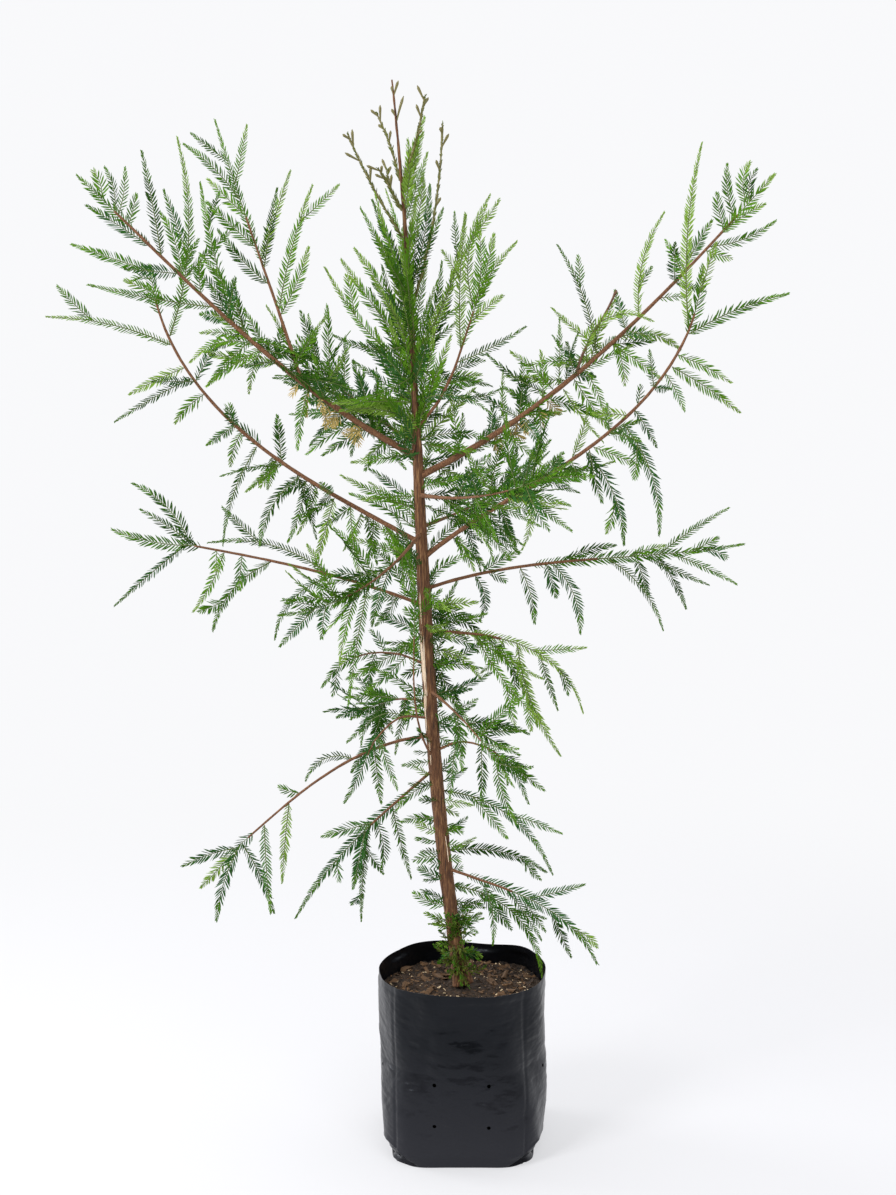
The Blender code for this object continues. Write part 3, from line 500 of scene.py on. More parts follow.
def smooth_point(line, s):
    """A place on a limb with the chain's corners rounded off."""
    reach = CORNER_REACH / line.steps
    return (line.point(max(0, s - reach)) + line.point(s) * 2 + line.point(min(1, s + reach))) / 4


def ring_at(line, s):
    """The middle of a limb's cross-section, and the two directions that it is drawn in."""
    tangent = line.tangent(s)
    back = square_to(BACK, tangent)
    return smooth_point(line, s), tangent.cross(back), back


def joined_rings(base, sides):
    """The faces between a ring of points that starts at a place in the list and the ring before it."""
    pairs = [(side, (side + 1) % sides) for side in range(sides)]
    return [(base - sides + a, base - sides + b, base + b, base + a) for a, b in pairs]


def limb_mesh(name, line, sides, spacing, relief, collar=1.0, end=1.0):
    """A limb as a tube of rings with its bark's relief, rounded off at the tip."""
    rings = max(6, round(end * line.length / spacing))
    points, faces = [], []
    for ring in range(rings + 1):
        s = end * ring / rings
        centre, across, back = ring_at(line, s)
        swell = 1 + (collar - 1) * math.exp(-s * line.length / COLLAR_REACH)
        for side in range(sides):
            angle = 2 * math.pi * side / sides
            out = across * math.cos(angle) + back * math.sin(angle)
            radius = line.radius(s) * swell
            along = s * line.length
            strip = Vector((math.cos(angle) * radius, math.sin(angle) * radius, along / BARK_STRETCH))
            rough = noise.fractal(strip / BARK_STRIP, 1.0, 2.0, 3)
            knot = noise.noise(Vector((math.cos(angle), math.sin(angle), along / KNOT_LENGTH)) * KNOTS_ROUND)
            points.append(centre + out * (radius * (1 + KNOT * knot) + relief * rough))
        if ring:
            faces += joined_rings(ring * sides, sides)
    points.append(smooth_point(line, end) + line.tangent(end) * line.radius(end))
    last = rings * sides
    faces += [(last + side, last + (side + 1) % sides, len(points) - 1) for side in range(sides)]
    faces.append(tuple(reversed(range(sides))))
    limb = new_piece(name, points, faces)
    limb.data.polygons.foreach_set("use_smooth", [True] * len(faces))
    return limb


soil_top = Vector((0, 0, SOIL_HEIGHT + GAP))
trunk = Line(soil_top, TRUNK_AIMS, (0, 0), TRUNK_LENGTH, TRUNK_GIRTH, TRUNK_STEPS)
trunk_bark = limb_mesh("trunk_bark", trunk, TRUNK_SIDES, TRUNK_RINGS, TRUNK_RELIEF)
for vertex in trunk_bark.data.vertices:
    climb = vertex.co.z - soil_top.z
    if climb < FLARE_HEIGHT:
        turned = FLARE_LOBES * math.atan2(vertex.co.y, vertex.co.x) + FLARE_TURN
        lobe = 1 + FLARE_LOBE * math.cos(turned) * (1 - climb / FLARE_HEIGHT) ** FLARE_FALL
        vertex.co.x *= lobe
        vertex.co.y *= lobe
    if climb < MM:
        vertex.co.z -= TRUNK_SUNK


# Young bark: red-brown fibres lengthwise, grey-pink where a strip has peeled, dark in the furrows.
def fibrous_bark(name, furrow, bark, strip, stretch, width):
    stops = ((0.32, linear(furrow)), (0.74, linear(strip)), (0.52, linear(bark)))
    return grained(name, 0.85, width, 5, stops, (0.7, 0.4 * MM), stretch, 0.65)


dress(trunk_bark, fibrous_bark("fibrous_trunk_bark", "#2c1a0e", "#603c22", "#a27c52", 0.07, 1.6 * MM),
      "trunk_bark", "trunk")

# Narrow strips on the trunk's left, where the old bark has peeled and paler new bark shows. A strip is
# (from, to, side of the trunk it is on, width in mm).
PEELED_STRIPS = (
    (0.325, 0.412, 226, 2.6), (0.340, 0.408, 246, 1.7), (0.300, 0.345, 218, 2.2), (0.355, 0.402, 206, 1.8),
    (0.262, 0.292, 230, 1.5), (0.420, 0.455, 236, 1.6), (0.150, 0.180, 300, 1.2))
PEELED_STEPS = 16
STRIP_WANDER, STRIP_WAVES = 6, 60
STRIP_PROUD, STRIP_SUNK, STRIP_END = 0.7, 0.8, 0.15
points, faces = [], []
for low, high, around, width in PEELED_STRIPS:
    for step in range(PEELED_STEPS + 1):
        s = low + (high - low) * step / PEELED_STEPS
        tangent = trunk.tangent(s)
        side = math.radians(around + STRIP_WANDER * math.sin(STRIP_WAVES * s + around))
        out = square_to(Vector((math.cos(side), math.sin(side), 0)), tangent)
        swell = STRIP_END + math.sin(math.pi * step / PEELED_STEPS) ** 0.5
        half = tangent.cross(out) * width / 2 * MM * swell
        middle = smooth_point(trunk, s) + out * trunk.radius(s)
        base = len(points)
        proud, sunk = out * STRIP_PROUD * MM, out * STRIP_SUNK * MM
        points += [middle - half, middle + proud, middle + half, middle - sunk]
        if step:
            faces += joined_rings(base, 4)
    faces.append(tuple(range(base, base + 4)))
    first = base - 4 * PEELED_STEPS
    faces.append(tuple(range(first + 3, first - 1, -1)))
dress(new_piece("peeled_bark_strips", points, faces),
      fibrous_bark("peeled_new_bark", "#a88a6c", "#d8c2a8", "#efe2d2", 0.07, 1.0 * MM), "trunk_bark", "trunk")

# The boughs leave the trunk at a small collar and taper to their tips, some curving up, some arching
# over. Their bark is thinner and smoother than the trunk's, brown, with fine lengthwise cracks.
Bough = namedtuple("Bough", "name foot aims leans length girth bare fill sprays parent", defaults=("trunk",))

# A bough's foot is a fraction along its parent, its length and girth are in mm, and it is bare up to
# the fraction where its tip foliage begins. fill counts the short sprays that a seeded rule adds on its
# near side, and as many on its far side. A spray is (along, aim, bend, length in mm), with a slimness
# under 1 for a thin shoot. The boughs that face the front and the back are guessed.
BOUGHS = (
    Bough("upper_left", 0.601, (152, 137, 136), (10, 4), 500, (3.9, 1.6), 0.80, 4, (
        (0.92, 77, 53, 34), (0.88, 87, 40, 61), (0.87, 69, 22, 54), (0.84, 71, 10, 36),
        (0.74, 94, 4, 130), (0.77, 146, 4, 88), (0.58, 173, -9, 145), (0.48, 167, 22, 67),
        (0.44, 205, 18, 76), (0.44, 242, 22, 58), (0.47, 219, 14, 74), (0.45, 154, 81, 89),
        (0.62, 98, -21, 42), (0.52, 111, -10, 190), (0.48, 104, 29, 109), (0.68, 92, 35, 78),
        (0.30, 250, 20, 75))),
    Bough("upper_right", 0.580, (24, 42, 48), (-8, -2), 541, (3.9, 1.6), 0.80, 4, (
        (0.92, 115, -66, 40), (0.91, 116, -66, 59), (0.87, 113, -27, 64), (0.84, 115, -28, 44),
        (0.83, 46, -20, 63), (0.79, 2, 37, 87), (0.78, -20, 7, 32), (0.58, 95, -43, 148),
        (0.46, 96, 29, 141), (0.64, 6, -6, 34), (0.50, -29, -10, 75), (0.51, -63, -25, 55),
        (0.43, 110, -150, 127), (0.52, 20, -68, 99), (0.30, 280, -20, 70))),
    Bough("middle_left", 0.507, (152, 141, 92), (-12, -6), 479, (2.9, 1.5), 0.84, 4, (
        (0.79, 152, 27, 154), (0.98, 165, -1, 123), (0.96, 146, 77, 26), (0.73, 202, 9, 82),
        (0.70, 204, 9, 109), (0.65, 210, 28, 52), (0.55, 112, -29, 24), (0.52, 234, 31, 57),
        (0.47, 235, 31, 130), (0.41, 241, -7, 43), (0.34, 210, 58, 103), (0.31, 269, -17, 24),
        (0.20, 271, 16, 99), (0.46, 132, 24, 51), (0.81, 68, 36, 238))),
    Bough("middle_right", 0.491, (42, 39, 93), (12, 8), 492, (2.9, 1.5), 0.80, 4, (
        (0.83, 35, -22, 123), (0.84, 94, -21, 241), (0.78, -19, -16, 69), (0.75, -28, -12, 105),
        (0.73, -54, -18, 50), (0.63, 72, 20, 24), (0.60, 170, 10, 42), (0.62, -52, -13, 65),
        (0.58, -48, -47, 142), (0.47, -45, -44, 135), (0.43, -58, -20, 22), (0.31, -72, -46, 78),
        (0.93, 75, 0, 60))),
    Bough("riser_left", 0.321, (107, 110, 107), (-10, -20), 323, (2.3, 1.3), 0.22, 0, (
        (0.68, 121, 26, 92), (0.83, 146, -2, 64), (0.50, 139, -4, 76), (0.36, 144, -19, 90),
        (0.42, 80, -4, 104), (0.45, 73, -3, 109), (0.26, 80, -13, 156), (0.245, 58, 20, 95)),
          "upper_left"),
    Bough("lower_left", 0.439, (156, 164, 167), (8, 14), 297, (2.1, 1.3), 0.88, 0, (
        (0.94, 178, -25, 97), (0.95, 115, 49, 116), (0.93, 141, 8, 77), (0.97, 219, 5, 126),
        (0.85, 265, 10, 24), (0.82, 252, -20, 85), (0.75, 262, 7, 40), (0.63, 206, 52, 153),
        (0.42, 259, -2, 36), (0.38, 193, 73, 125), (0.24, 257, 7, 146), (0.40, 140, 54, 155),
        (0.23, 124, 83, 61), (0.12, 255, -33, 59))),
    Bough("lower_right", 0.457, (18, 3, 10), (-12, -4), 389, (2.1, 1.3), 0.80, 0, (
        (0.87, 6, -46, 28), (0.72, -51, -20, 103), (0.83, 28, 0, 35), (0.66, -72, -1, 56),
        (0.57, -25, -52, 115), (0.38, -67, -12, 44), (0.40, -41, -54, 94), (0.16, -50, -69, 79),
        (0.20, -9, -34, 24), (0.43, 30, -32, 71), (0.64, 31, -15, 47), (0.18, 40, -24, 53),
        (0.30, -60, -30, 70))),
    Bough("low_left", 0.294, (179, 213, 221), (12, 4), 275, (2.0, 1.2), 0.86, 0, (
        (0.99, 185, 21, 68), (0.98, 235, -4, 100), (0.97, 240, 25, 98), (0.96, 299, -19, 109),
        (0.83, 272, 7, 108), (0.69, 262, 4, 108), (0.36, 148, 109, 72), (0.63, 187, -30, 31))),
    Bough("low_left_inner", 0.257, (227, 228, 244), (-20, -5), 282, (1.9, 1.2), 0.26, 0, (
        (0.65, 276, 3, 26), (0.43, 261, 8, 180), (0.39, 302, -48, 61), (0.28, 280, 5, 110),
        (0.45, 257, 0, 74))),
    Bough("right_arch", 0.411, (-5, -22, -83), (-12, 12), 232, (2.1, 1.4), 0.22, 0, (
        (0.72, -47, -44, 34), (0.60, -74, 2, 100), (0.47, -84, 31, 149), (0.40, -99, -44, 55),
        (0.25, -62, 26, 148), (0.31, -45, -34, 136), (0.24, -42, 23, 101))),
    Bough("low_right", 0.142, (-16, -22, -70), (20, 15), 225, (1.8, 1.1), 0.60, 0, (
        (0.77, -12, -44, 34), (0.62, -73, 5, 92), (0.22, -66, -32, 82), (0.45, -68, 13, 60))),
    Bough("riser_right", 0.632, (40, 73, 38), (15, 0), 251, (2.1, 1.2), 0.18, 0, (
        (0.37, 21, 16, 93), (0.33, 32, -34, 43), (0.27, 7, -5, 38), (0.20, -20, 52, 77),
        (0.43, 94, -12, 172), (0.62, 109, -55, 138), (0.63, 74, 30, 105), (0.68, 71, 9, 84))),
    Bough("inner_left", 0.372, (141, 186, 248), (20, 5), 150, (1.6, 0.9), 0, 0, (
        (0.80, 275, -26, 32), (0.45, 243, 37, 74), (0.20, 228, -14, 59), (0.39, 100, 47, 32))),
    Bough("inner_left_low", 0.313, (129, 238, 229), (25, 10), 168, (1.6, 0.9), 0, 0, (
        (0.47, 294, -4, 67), (0.51, 274, 1, 108), (0.20, 150, 130, 80), (0.41, 228, 15, 71))),
    Bough("inner_right_low", 0.276, (52, -31, -75), (20, 10), 159, (1.6, 0.9), 0, 0, (
        (0.44, -34, -51, 53), (0.56, -21, -64, 64), (0.20, -101, 9, 70))),
    Bough("side_shoot", 0.264, (122, 89, 105), (34, 0, -4), 274, (1.4, 0.8), 0, 0, (
        (0.90, 120, -14, 31), (0.94, 155, -18, 26))),
    Bough("front_high", 0.560, (10, 25, 45), (66, 50), 350, (2.6, 1.0), 0, 0, (
        (0.28, 70, -20, 90), (0.38, -40, -20, 85), (0.50, 85, -20, 95), (0.60, -20, -20, 85),
        (0.70, 80, 0, 75), (0.18, -30, -30, 85), (0.82, 10, 0, 70))),
    Bough("back_high", 0.615, (165, 150, 125), (-66, -50), 350, (2.6, 1.0), 0, 0, (
        (0.28, 200, 20, 90), (0.38, 110, 10, 85), (0.50, 215, 20, 95), (0.60, 90, 0, 85),
        (0.70, 180, 0, 75), (0.18, 225, 20, 85), (0.82, 110, 0, 70))),
    Bough("front_middle", 0.520, (225, 200, 170), (66, 48), 300, (2.4, 1.0), 0, 0, (
        (0.30, 240, 20, 85), (0.42, 120, 20, 75), (0.55, 245, 20, 85), (0.68, 110, 10, 75),
        (0.80, 215, 10, 75), (0.20, 150, 20, 70))),
    Bough("back_middle", 0.525, (0, 15, 40), (-66, -48), 320, (2.4, 1.0), 0, 0, (
        (0.30, -60, -20, 85), (0.42, 70, -20, 75), (0.55, -60, -10, 85), (0.68, 80, 0, 75),
        (0.80, -20, 0, 75), (0.20, 50, -20, 70))),
    Bough("front_low", 0.345, (-10, -35, -50), (66, 48), 220, (2.0, 0.9), 0, 0, (
        (0.30, -80, 0, 80), (0.45, 10, -40, 75), (0.62, -90, 0, 75), (0.78, -20, -20, 65))),
    Bough("back_low", 0.330, (190, 215, 230), (-66, -48), 240, (2.0, 0.9), 0, 0, (
        (0.30, 260, 0, 80), (0.45, 170, 40, 75), (0.62, 270, 0, 75), (0.78, 200, 20, 65))),
)

# Sprays that grow straight from the trunk, by the side they stand on: 0 is right, 90 is the back.
Cluster = namedtuple("Cluster", "name around lean sprays")

CLUSTERS = (
    Cluster("leader_left_foliage", 180, 0, (
        (0.78, 110, 2, 112), (0.74, 126, 2, 125), (0.69, 141, -25, 160), (0.71, 129, -4, 140),
        (0.72, 195, -51, 100), (0.77, 118, 0, 117), (0.66, 144, -1, 87), (0.65, 149, 80, 96),
        (0.83, 123, -10, 137, 0.5), (0.89, 102, 15, 86, 0.5), (0.86, 115, 8, 61, 0.6),
        (0.86, 130, -40, 52, 0.7))),
    Cluster("leader_right_foliage", 0, 0, (
        (0.76, 72, 17, 218, 0.6), (0.69, 60, 18, 144), (0.78, 71, 17, 120), (0.665, 38, -40, 82),
        (0.89, 69, 12, 109, 0.5), (0.82, 68, 22, 89), (0.71, 55, 32, 181), (0.85, 73, -1, 93),
        (0.86, 73, 15, 88, 0.8))),
    Cluster("leader_front_foliage", 270, 26, (
        (0.74, 92, 5, 120), (0.70, 115, -15, 120), (0.66, 35, -80, 110), (0.78, 80, 5, 90),
        (0.68, 70, 10, 110), (0.64, 150, 40, 95), (0.72, 100, 0, 100), (0.62, 20, -40, 85))),
    Cluster("leader_back_foliage", 90, -26, (
        (0.74, 92, 5, 120), (0.70, 65, 15, 120), (0.66, 125, 20, 100), (0.78, 100, -5, 90),
        (0.68, 110, -10, 110), (0.65, 40, -40, 90), (0.72, 80, 0, 100), (0.64, 160, 30, 85))),
    Cluster("trunk_right_foliage", 50, 0, (
        (0.462, 62, -50, 66), (0.425, 5, -68, 92), (0.39, -1, -60, 73), (0.37, -46, -33, 85),
        (0.345, -9, -66, 66), (0.40, 21, -76, 65))),
    Cluster("low_right_sprays", 55, 0, (
        (0.23, 2, -74, 180), (0.16, -1, -46, 162), (0.12, -2, -88, 176), (0.18, 20, 24, 33),
        (0.09, 30, -7, 52), (0.10, 0, -30, 40))),
    Cluster("low_left_sprays", 232, 0, (
        (0.24, 185, 56, 57), (0.20, 178, 36, 53), (0.13, 152, -1, 33), (0.10, 182, -37, 44),
        (0.16, 142, 46, 27))),
    Cluster("foot_sprays", 270, 20, (
        (0.075, 150, 20, 38), (0.07, 30, -20, 40), (0.05, 200, 30, 30), (0.048, -10, -30, 32),
        (0.085, 60, -30, 36), (0.06, 95, 0, 30))),
)

# A bough is thickest up to half its length. Its own last stretch is a green spray, from a fraction along
# it, and the bark ends part way along that.
TAPERED_BY = 0.5
LEADING_FROM, LEADING_PAST_ROOT = 0.45, 0.03
LEADING_EARLY = {"right_arch": 0.12, "low_right": 0.12, "low_left_inner": 0.2, "lower_right": 0.34}
BARK_ENDS = 0.3
BOUGH_SIDES, BOUGH_RINGS, BOUGH_RELIEF, COLLAR = 16, 2.5 * MM, 0.16 * MM, 1.35

bough_bark = fibrous_bark("smooth_bough_bark", "#3c2516", "#70492e", "#94704e", 0.35, 1.1 * MM)
lines = {"trunk": trunk}
greens = {}
for bough in BOUGHS:
    parent = lines[bough.parent]
    root, tip = bough.girth
    girth = ((0, root), (max(bough.bare, TAPERED_BY), tip), (1, TIP_RADIUS))
    line = Line(parent.point(bough.foot), bough.aims, bough.leans, bough.length * MM, girth)
    lines[bough.name] = line
    green_from = LEADING_EARLY.get(bough.name, max(bough.bare + LEADING_PAST_ROOT, LEADING_FROM))
    greens[bough.name] = green_from
    bark_end = green_from + BARK_ENDS * (1 - green_from)
    limb = limb_mesh(f"{bough.name}_limb", line, BOUGH_SIDES, BOUGH_RINGS, BOUGH_RELIEF, COLLAR, bark_end)
    solids = [f"{bough.name}_{kind}" for kind in ("bough_inner", "bough_outer", "bough", "foliage")]
    dress(limb, bough_bark, "bough_bark", *[solid for solid in solids if solid in frame["nodes"]])

# The snag is a short bare stub on the upper right bough, where a branch died and broke off: dry
# grey-brown wood, its bark gone, with a swollen blunt end.
SNAG_FOOT, SNAG_AIMS, SNAG_LEANS, SNAG_LENGTH = 0.40, (80, 60, 72), (4, 4), 0.110
SNAG_GIRTH = ((0, 1.8), (0.90, 1.3), (0.96, 2.0), (1, 1.2))
SNAG_SIDES, SNAG_RINGS, SNAG_RELIEF = 12, 2 * MM, 0.15 * MM
snag = Line(lines["upper_right"].point(SNAG_FOOT), SNAG_AIMS, SNAG_LEANS, SNAG_LENGTH, SNAG_GIRTH)
dry_wood = fibrous_bark("dry_dead_wood", "#3a251a", "#5f4230", "#86674f", 0.4, 1.0 * MM)
snag_wood = limb_mesh("dead_snag_wood", snag, SNAG_SIDES, SNAG_RINGS, SNAG_RELIEF)
dress(snag_wood, dry_wood, "bough_bark", "dead_snag")

# The sprays are the short green shoots of the year, each with two ranks of soft flat needles spread in
# one plane like a feather. They spring from the boughs, the twigs and the trunk where the frame has them.
SEED = 11
SPRAY_LEANS = (14, -30, 4, -16, 24, -8)
ROLL_RANGE = 24
DEEP_LEAN, SHARE_OF_LEAN = 30, 0.5
UNDER_BARK = 0.8
FILL_REACH, FILL_TURN, FILL_LEAN, FILL_LENGTH = (0.18, 0.76), (35, 80), (45, 70), (65, 90)

Spray = namedtuple("Spray", "along aim bend length slimness lean")
Shoot = namedtuple("Shoot", "line start slimness roll mass tone", defaults=(None,))


def with_leans(sprays, base_lean=0):
    """The sprays of a table, each leaning to or from the viewer by its place in the table."""
    leans = [base_lean + SPRAY_LEANS[place % len(SPRAY_LEANS)] for place in range(len(sprays))]
    return [Spray(*(*spray, 1)[:5], lean) for spray, lean in zip(sprays, leans)]


def fill_sprays(bough, facing, chance):
    """Short sprays towards the viewer (facing 1) or away from them (-1), dealt out by a seeded rule."""
    low, high = FILL_REACH
    found = []
    for i in range(bough.fill):
        along = low + (high - low) * (i + 0.5) / bough.fill
        turn = chance.uniform(*FILL_TURN) * (1 if i % 2 else -1) * facing
        aim = between(bough.aims, along) + turn
        length, lean = chance.uniform(*FILL_LENGTH), facing * chance.uniform(*FILL_LEAN)
        found.append(Spray(along, aim, 0, length, 1, lean))
    return found


rule = random.Random(SEED)
masses = []
for bough in BOUGHS:
    line = lines[bough.name]
    depth = sum(bough.leans) / 2
    sprays = with_leans(bough.sprays, SHARE_OF_LEAN * depth if abs(depth) > DEEP_LEAN else 0)
    tip_sprays = [spray for spray in sprays if spray.along >= bough.bare]
    side_sprays = [spray for spray in sprays if spray.along < bough.bare]
    masses.append((f"{bough.name}_foliage", line, tip_sprays, greens[bough.name]))
    if side_sprays:
        side_sprays += fill_sprays(bough, -1, rule)
        masses.append((f"{bough.name}_side_foliage", line, side_sprays, None))
    if bough.fill:
        masses.append((f"{bough.name}_front_foliage", line, fill_sprays(bough, 1, rule), None))
sides = {}
for cluster in CLUSTERS:
    masses.append((cluster.name, trunk, with_leans(cluster.sprays, cluster.lean), None))
    around = math.radians(cluster.around)
    sides[cluster.name] = Vector((math.cos(around), math.sin(around), 0))

shoots = []
for name, limb_line, sprays, leading_from in masses:
    if leading_from:
        shoots.append(Shoot(limb_line, leading_from, 1, rule.uniform(-ROLL_RANGE, ROLL_RANGE), name))
    for spray in sprays:
        roll = rule.uniform(-ROLL_RANGE, ROLL_RANGE)
        start = limb_line.point(spray.along)
        if name in sides:
            out = square_to(sides[name], trunk.tangent(spray.along))
            start += out * trunk.radius(spray.along) * UNDER_BARK
        line = Line(start, (spray.aim, spray.aim + spray.bend), (spray.lean, spray.lean), spray.length * MM)
        shoots.append(Shoot(line, 0, spray.slimness, roll, name))

# The leader's tip and the thin upright shoots round it end in closed buds, with more on short stalks.
# A shoot is budded when its slimness is under BUDDED, and only a bud on its stalk when it is BUD.
BUDDED, BUD = 0.75, 0.2
BUD_PLACES, BUD_TURN, BUD_LEAN, BUD_LENGTH = (0.55, 0.74, 0.86, 0.93), (20, 36), 30, (10, 21)
LEADER_BUDS = ((0.978, 72, 0, 18), (0.980, 104, 0, 9), (0.951, 77, -6, 31), (0.957, 118, 0, 10))
FINER_SEED = 5
finer = random.Random(FINER_SEED)


def branching(shoot, s, i, turn, tilt):
    """The aim and lean of a shoot that branches off another, to its one side and its other by turns."""
    aim = between(shoot.line.aims, s) + finer.uniform(*turn) * (1 if i % 2 else -1)
    return aim, between(shoot.line.leans, s) + finer.uniform(-tilt, tilt)


for along, aim, bend, length in LEADER_BUDS:
    line = Line(trunk.point(along), (aim, aim + bend), (0, 0), length * MM)
    shoots.append(Shoot(line, 0, BUD, 0, "leader_left_foliage"))
for shoot in [shoot for shoot in shoots if BUD < shoot.slimness < BUDDED]:
    for i, s in enumerate(BUD_PLACES):
        aim, lean = branching(shoot, s, i, BUD_TURN, BUD_LEAN)
        line = Line(shoot.line.point(s), (aim, aim), (lean, lean), finer.uniform(*BUD_LENGTH) * MM)
        shoots.append(Shoot(line, 0, BUD, 0, shoot.mass))

# Each thicket adds short sprays to a mass, on every side of a stretch of its limb: how many, their aims,
# leans and lengths in mm, and their shade where they have their own.
THICKETS = (
    ("leader_front_foliage", (0.60, 0.80), 22, (52, 128), (-60, 60), (75, 130)),
    ("leader_front_foliage", (0.60, 0.79), 8, (72, 112), (4, 30), (90, 140), "grass"),
    ("leader_back_foliage", (0.38, 0.62), 16, (-60, 240), (-85, 85), (55, 105)),
    ("low_left_sprays", (0.09, 0.42), 26, (120, 215), (-60, 60), (16, 42)),
    ("low_right_sprays", (0.09, 0.42), 26, (-35, 60), (-60, 60), (16, 42)),
    ("leader_back_foliage", (0.50, 0.70), 26, (-40, 220), (-80, 60), (55, 105)),
    ("upper_left_front_foliage", (0.05, 0.52), 38, (-50, 240), (-75, 12), (50, 95)),
    ("upper_right_front_foliage", (0.08, 0.50), 38, (-60, 230), (-75, 12), (45, 90)),
    ("middle_left_front_foliage", (0.06, 0.45), 15, (170, 310), (-60, 8), (50, 100)),
    ("middle_right_front_foliage", (0.06, 0.58), 16, (-110, 110), (-60, 8), (45, 90)),
    ("trunk_right_foliage", (0.30, 0.47), 26, (-70, 210), (-70, 30), (50, 85)),
    ("upper_left_side_foliage", (0.12, 0.34), 8, (190, 290), (-50, 50), (16, 36), "dry"),
    ("upper_right_side_foliage", (0.18, 0.34), 6, (230, 340), (-50, 50), (16, 32), "dry"),
    ("front_high_foliage", (0.15, 0.77), 22, (-80, 130), (-20, 55), (50, 90)),
    ("back_high_foliage", (0.15, 0.80), 26, (50, 260), (-80, 20), (50, 90)),
    ("front_middle_foliage", (0.20, 0.77), 13, (100, 290), (-20, 80), (50, 85)),
    ("back_middle_foliage", (0.20, 0.85), 17, (-80, 110), (-80, 20), (50, 85)),
    ("front_low_foliage", (0.25, 0.85), 11, (-110, 60), (0, 70), (45, 80)),
    ("back_low_foliage", (0.25, 0.85), 14, (140, 290), (-70, 0), (45, 80)),
    ("leader_right_foliage", (0.855, 0.885), 4, (70, 88), (-8, 14), (60, 92), "fresh"),
    ("foot_sprays", (0.012, 0.080), 30, (20, 160), (-40, 80), (16, 34), "olive"),
    ("foot_sprays", (0.020, 0.085), 18, (-20, 200), (-75, 75), (14, 32), "grass"),
    ("foot_sprays", (0.020, 0.065), 9, (215, 325), (35, 75), (14, 26), "olive"),
)
THICKET_BEND, THICKET_TIP_LEAN = 25, 0.6
THICKET_ROLL, DEEP_THICKET_ROLL = 50, 85
limb_lines = {name: limb_line for name, limb_line, *_ in masses}
for mass, (low, high), count, aims, leans, lengths, *own_tone in THICKETS:
    limb_line = limb_lines[mass]
    rolled = DEEP_THICKET_ROLL if mass.startswith(("front", "back")) else THICKET_ROLL
    for i in range(count):
        along = low + (high - low) * (i + finer.random()) / count
        aim, lean = finer.uniform(*aims), finer.uniform(*leans)
        start = limb_line.point(along) + heading(aim, lean) * limb_line.radius(along) * UNDER_BARK
        aims_along = (aim, aim + finer.uniform(-THICKET_BEND, THICKET_BEND))
        line = Line(start, aims_along, (lean, lean * THICKET_TIP_LEAN), finer.uniform(*lengths) * MM)
        shoots.append(Shoot(line, 0, 1, finer.uniform(-rolled, rolled), mass, *own_tone))

# Long sprays branch once more, with short side shoots in the same plane.
SIDE_FROM, SIDE_EVERY, SIDE_PLACES, SIDE_SLIMNESS = 0.135, 0.085, (0.15, 0.7), 0.85
SIDE_TURN, SIDE_SHARE, SIDE_BEND = (20, 36), (0.25, 0.42), 12
SIDE_TILT, SIDE_LEAN, SIDE_ROLL = 22, 50, 20


def green_length(shoot):
    return (1 - shoot.start) * shoot.line.length


def place_on(shoot, u):
    """How far along its limb a place on a shoot is, as a fraction."""
    return shoot.start + (1 - shoot.start) * u


for shoot in list(shoots):
    length = green_length(shoot)
    if length < SIDE_FROM or shoot.slimness < 1:
        continue
    for i in range(int(length / SIDE_EVERY)):
        s = place_on(shoot, finer.uniform(*SIDE_PLACES))
        aim, lean = branching(shoot, s, i, SIDE_TURN, SIDE_TILT)
        lean = max(-SIDE_LEAN, min(SIDE_LEAN, lean))
        side_length = length * finer.uniform(*SIDE_SHARE)
        aims = (aim, aim + finer.uniform(-SIDE_BEND, SIDE_BEND))
        line = Line(shoot.line.point(s), aims, (lean, lean), side_length)
        roll = shoot.roll + finer.uniform(-SIDE_ROLL, SIDE_ROLL)
        shoots.append(Shoot(line, 0, SIDE_SLIMNESS, roll, shoot.mass))

# The shades of living needles, from old and shaded to new, and of dry ones. The last third of a spray is
# a shade fresher. Each part of the crown deals its shades out in its own shares.
TONES = {
    "deep": "#2c4c18", "leaf": "#40681a", "grass": "#547e20", "blue": "#315829", "grey": "#476c33",
    "fresh": "#73933a", "olive": "#586428", "dry": "#a8935a"}
FRESHER = {
    "deep": "leaf", "leaf": "grass", "grass": "fresh", "blue": "leaf", "grey": "grass", "olive": "leaf"}
TIP_FROM = 0.7
MIXES = {
    "leader": {"deep": 1, "leaf": 4, "grass": 5, "fresh": 2, "blue": 3},
    "inside": {"blue": 4, "grey": 2, "leaf": 3, "deep": 1},
    "sides": {"deep": 3, "leaf": 4, "grass": 3, "blue": 2, "grey": 1, "fresh": 1},
    "low": {"deep": 2, "leaf": 4, "blue": 3, "grey": 1, "fresh": 1},
    "tips": {"deep": 2, "leaf": 4, "grass": 4, "fresh": 2}}
INSIDE_LEAN = 40
# The slimness of the fresh tuft behind the leader's tip.
TUFTED = 0.8


def tone_of(shoot):
    """The shade of a spray: bluer and paler low down and inside the crown, fresher at the tips of boughs."""
    if shoot.tone:
        return shoot.tone
    if shoot.slimness < BUDDED:
        return "olive"
    if shoot.slimness == TUFTED:
        return "fresh"
    mix = MIXES["tips"]
    if "leader" in shoot.mass:
        mix = MIXES["leader"]
    elif (abs(between(shoot.line.leans, 0.5)) > INSIDE_LEAN or "back" in shoot.mass
          or "inner" in shoot.mass):
        mix = MIXES["inside"]
    elif shoot.mass.endswith("side_foliage"):
        mix = MIXES["sides"]
    elif any(word in shoot.mass for word in ("low", "trunk", "foot")):
        mix = MIXES["low"]
    return finer.choices(list(mix), list(mix.values()))[0]


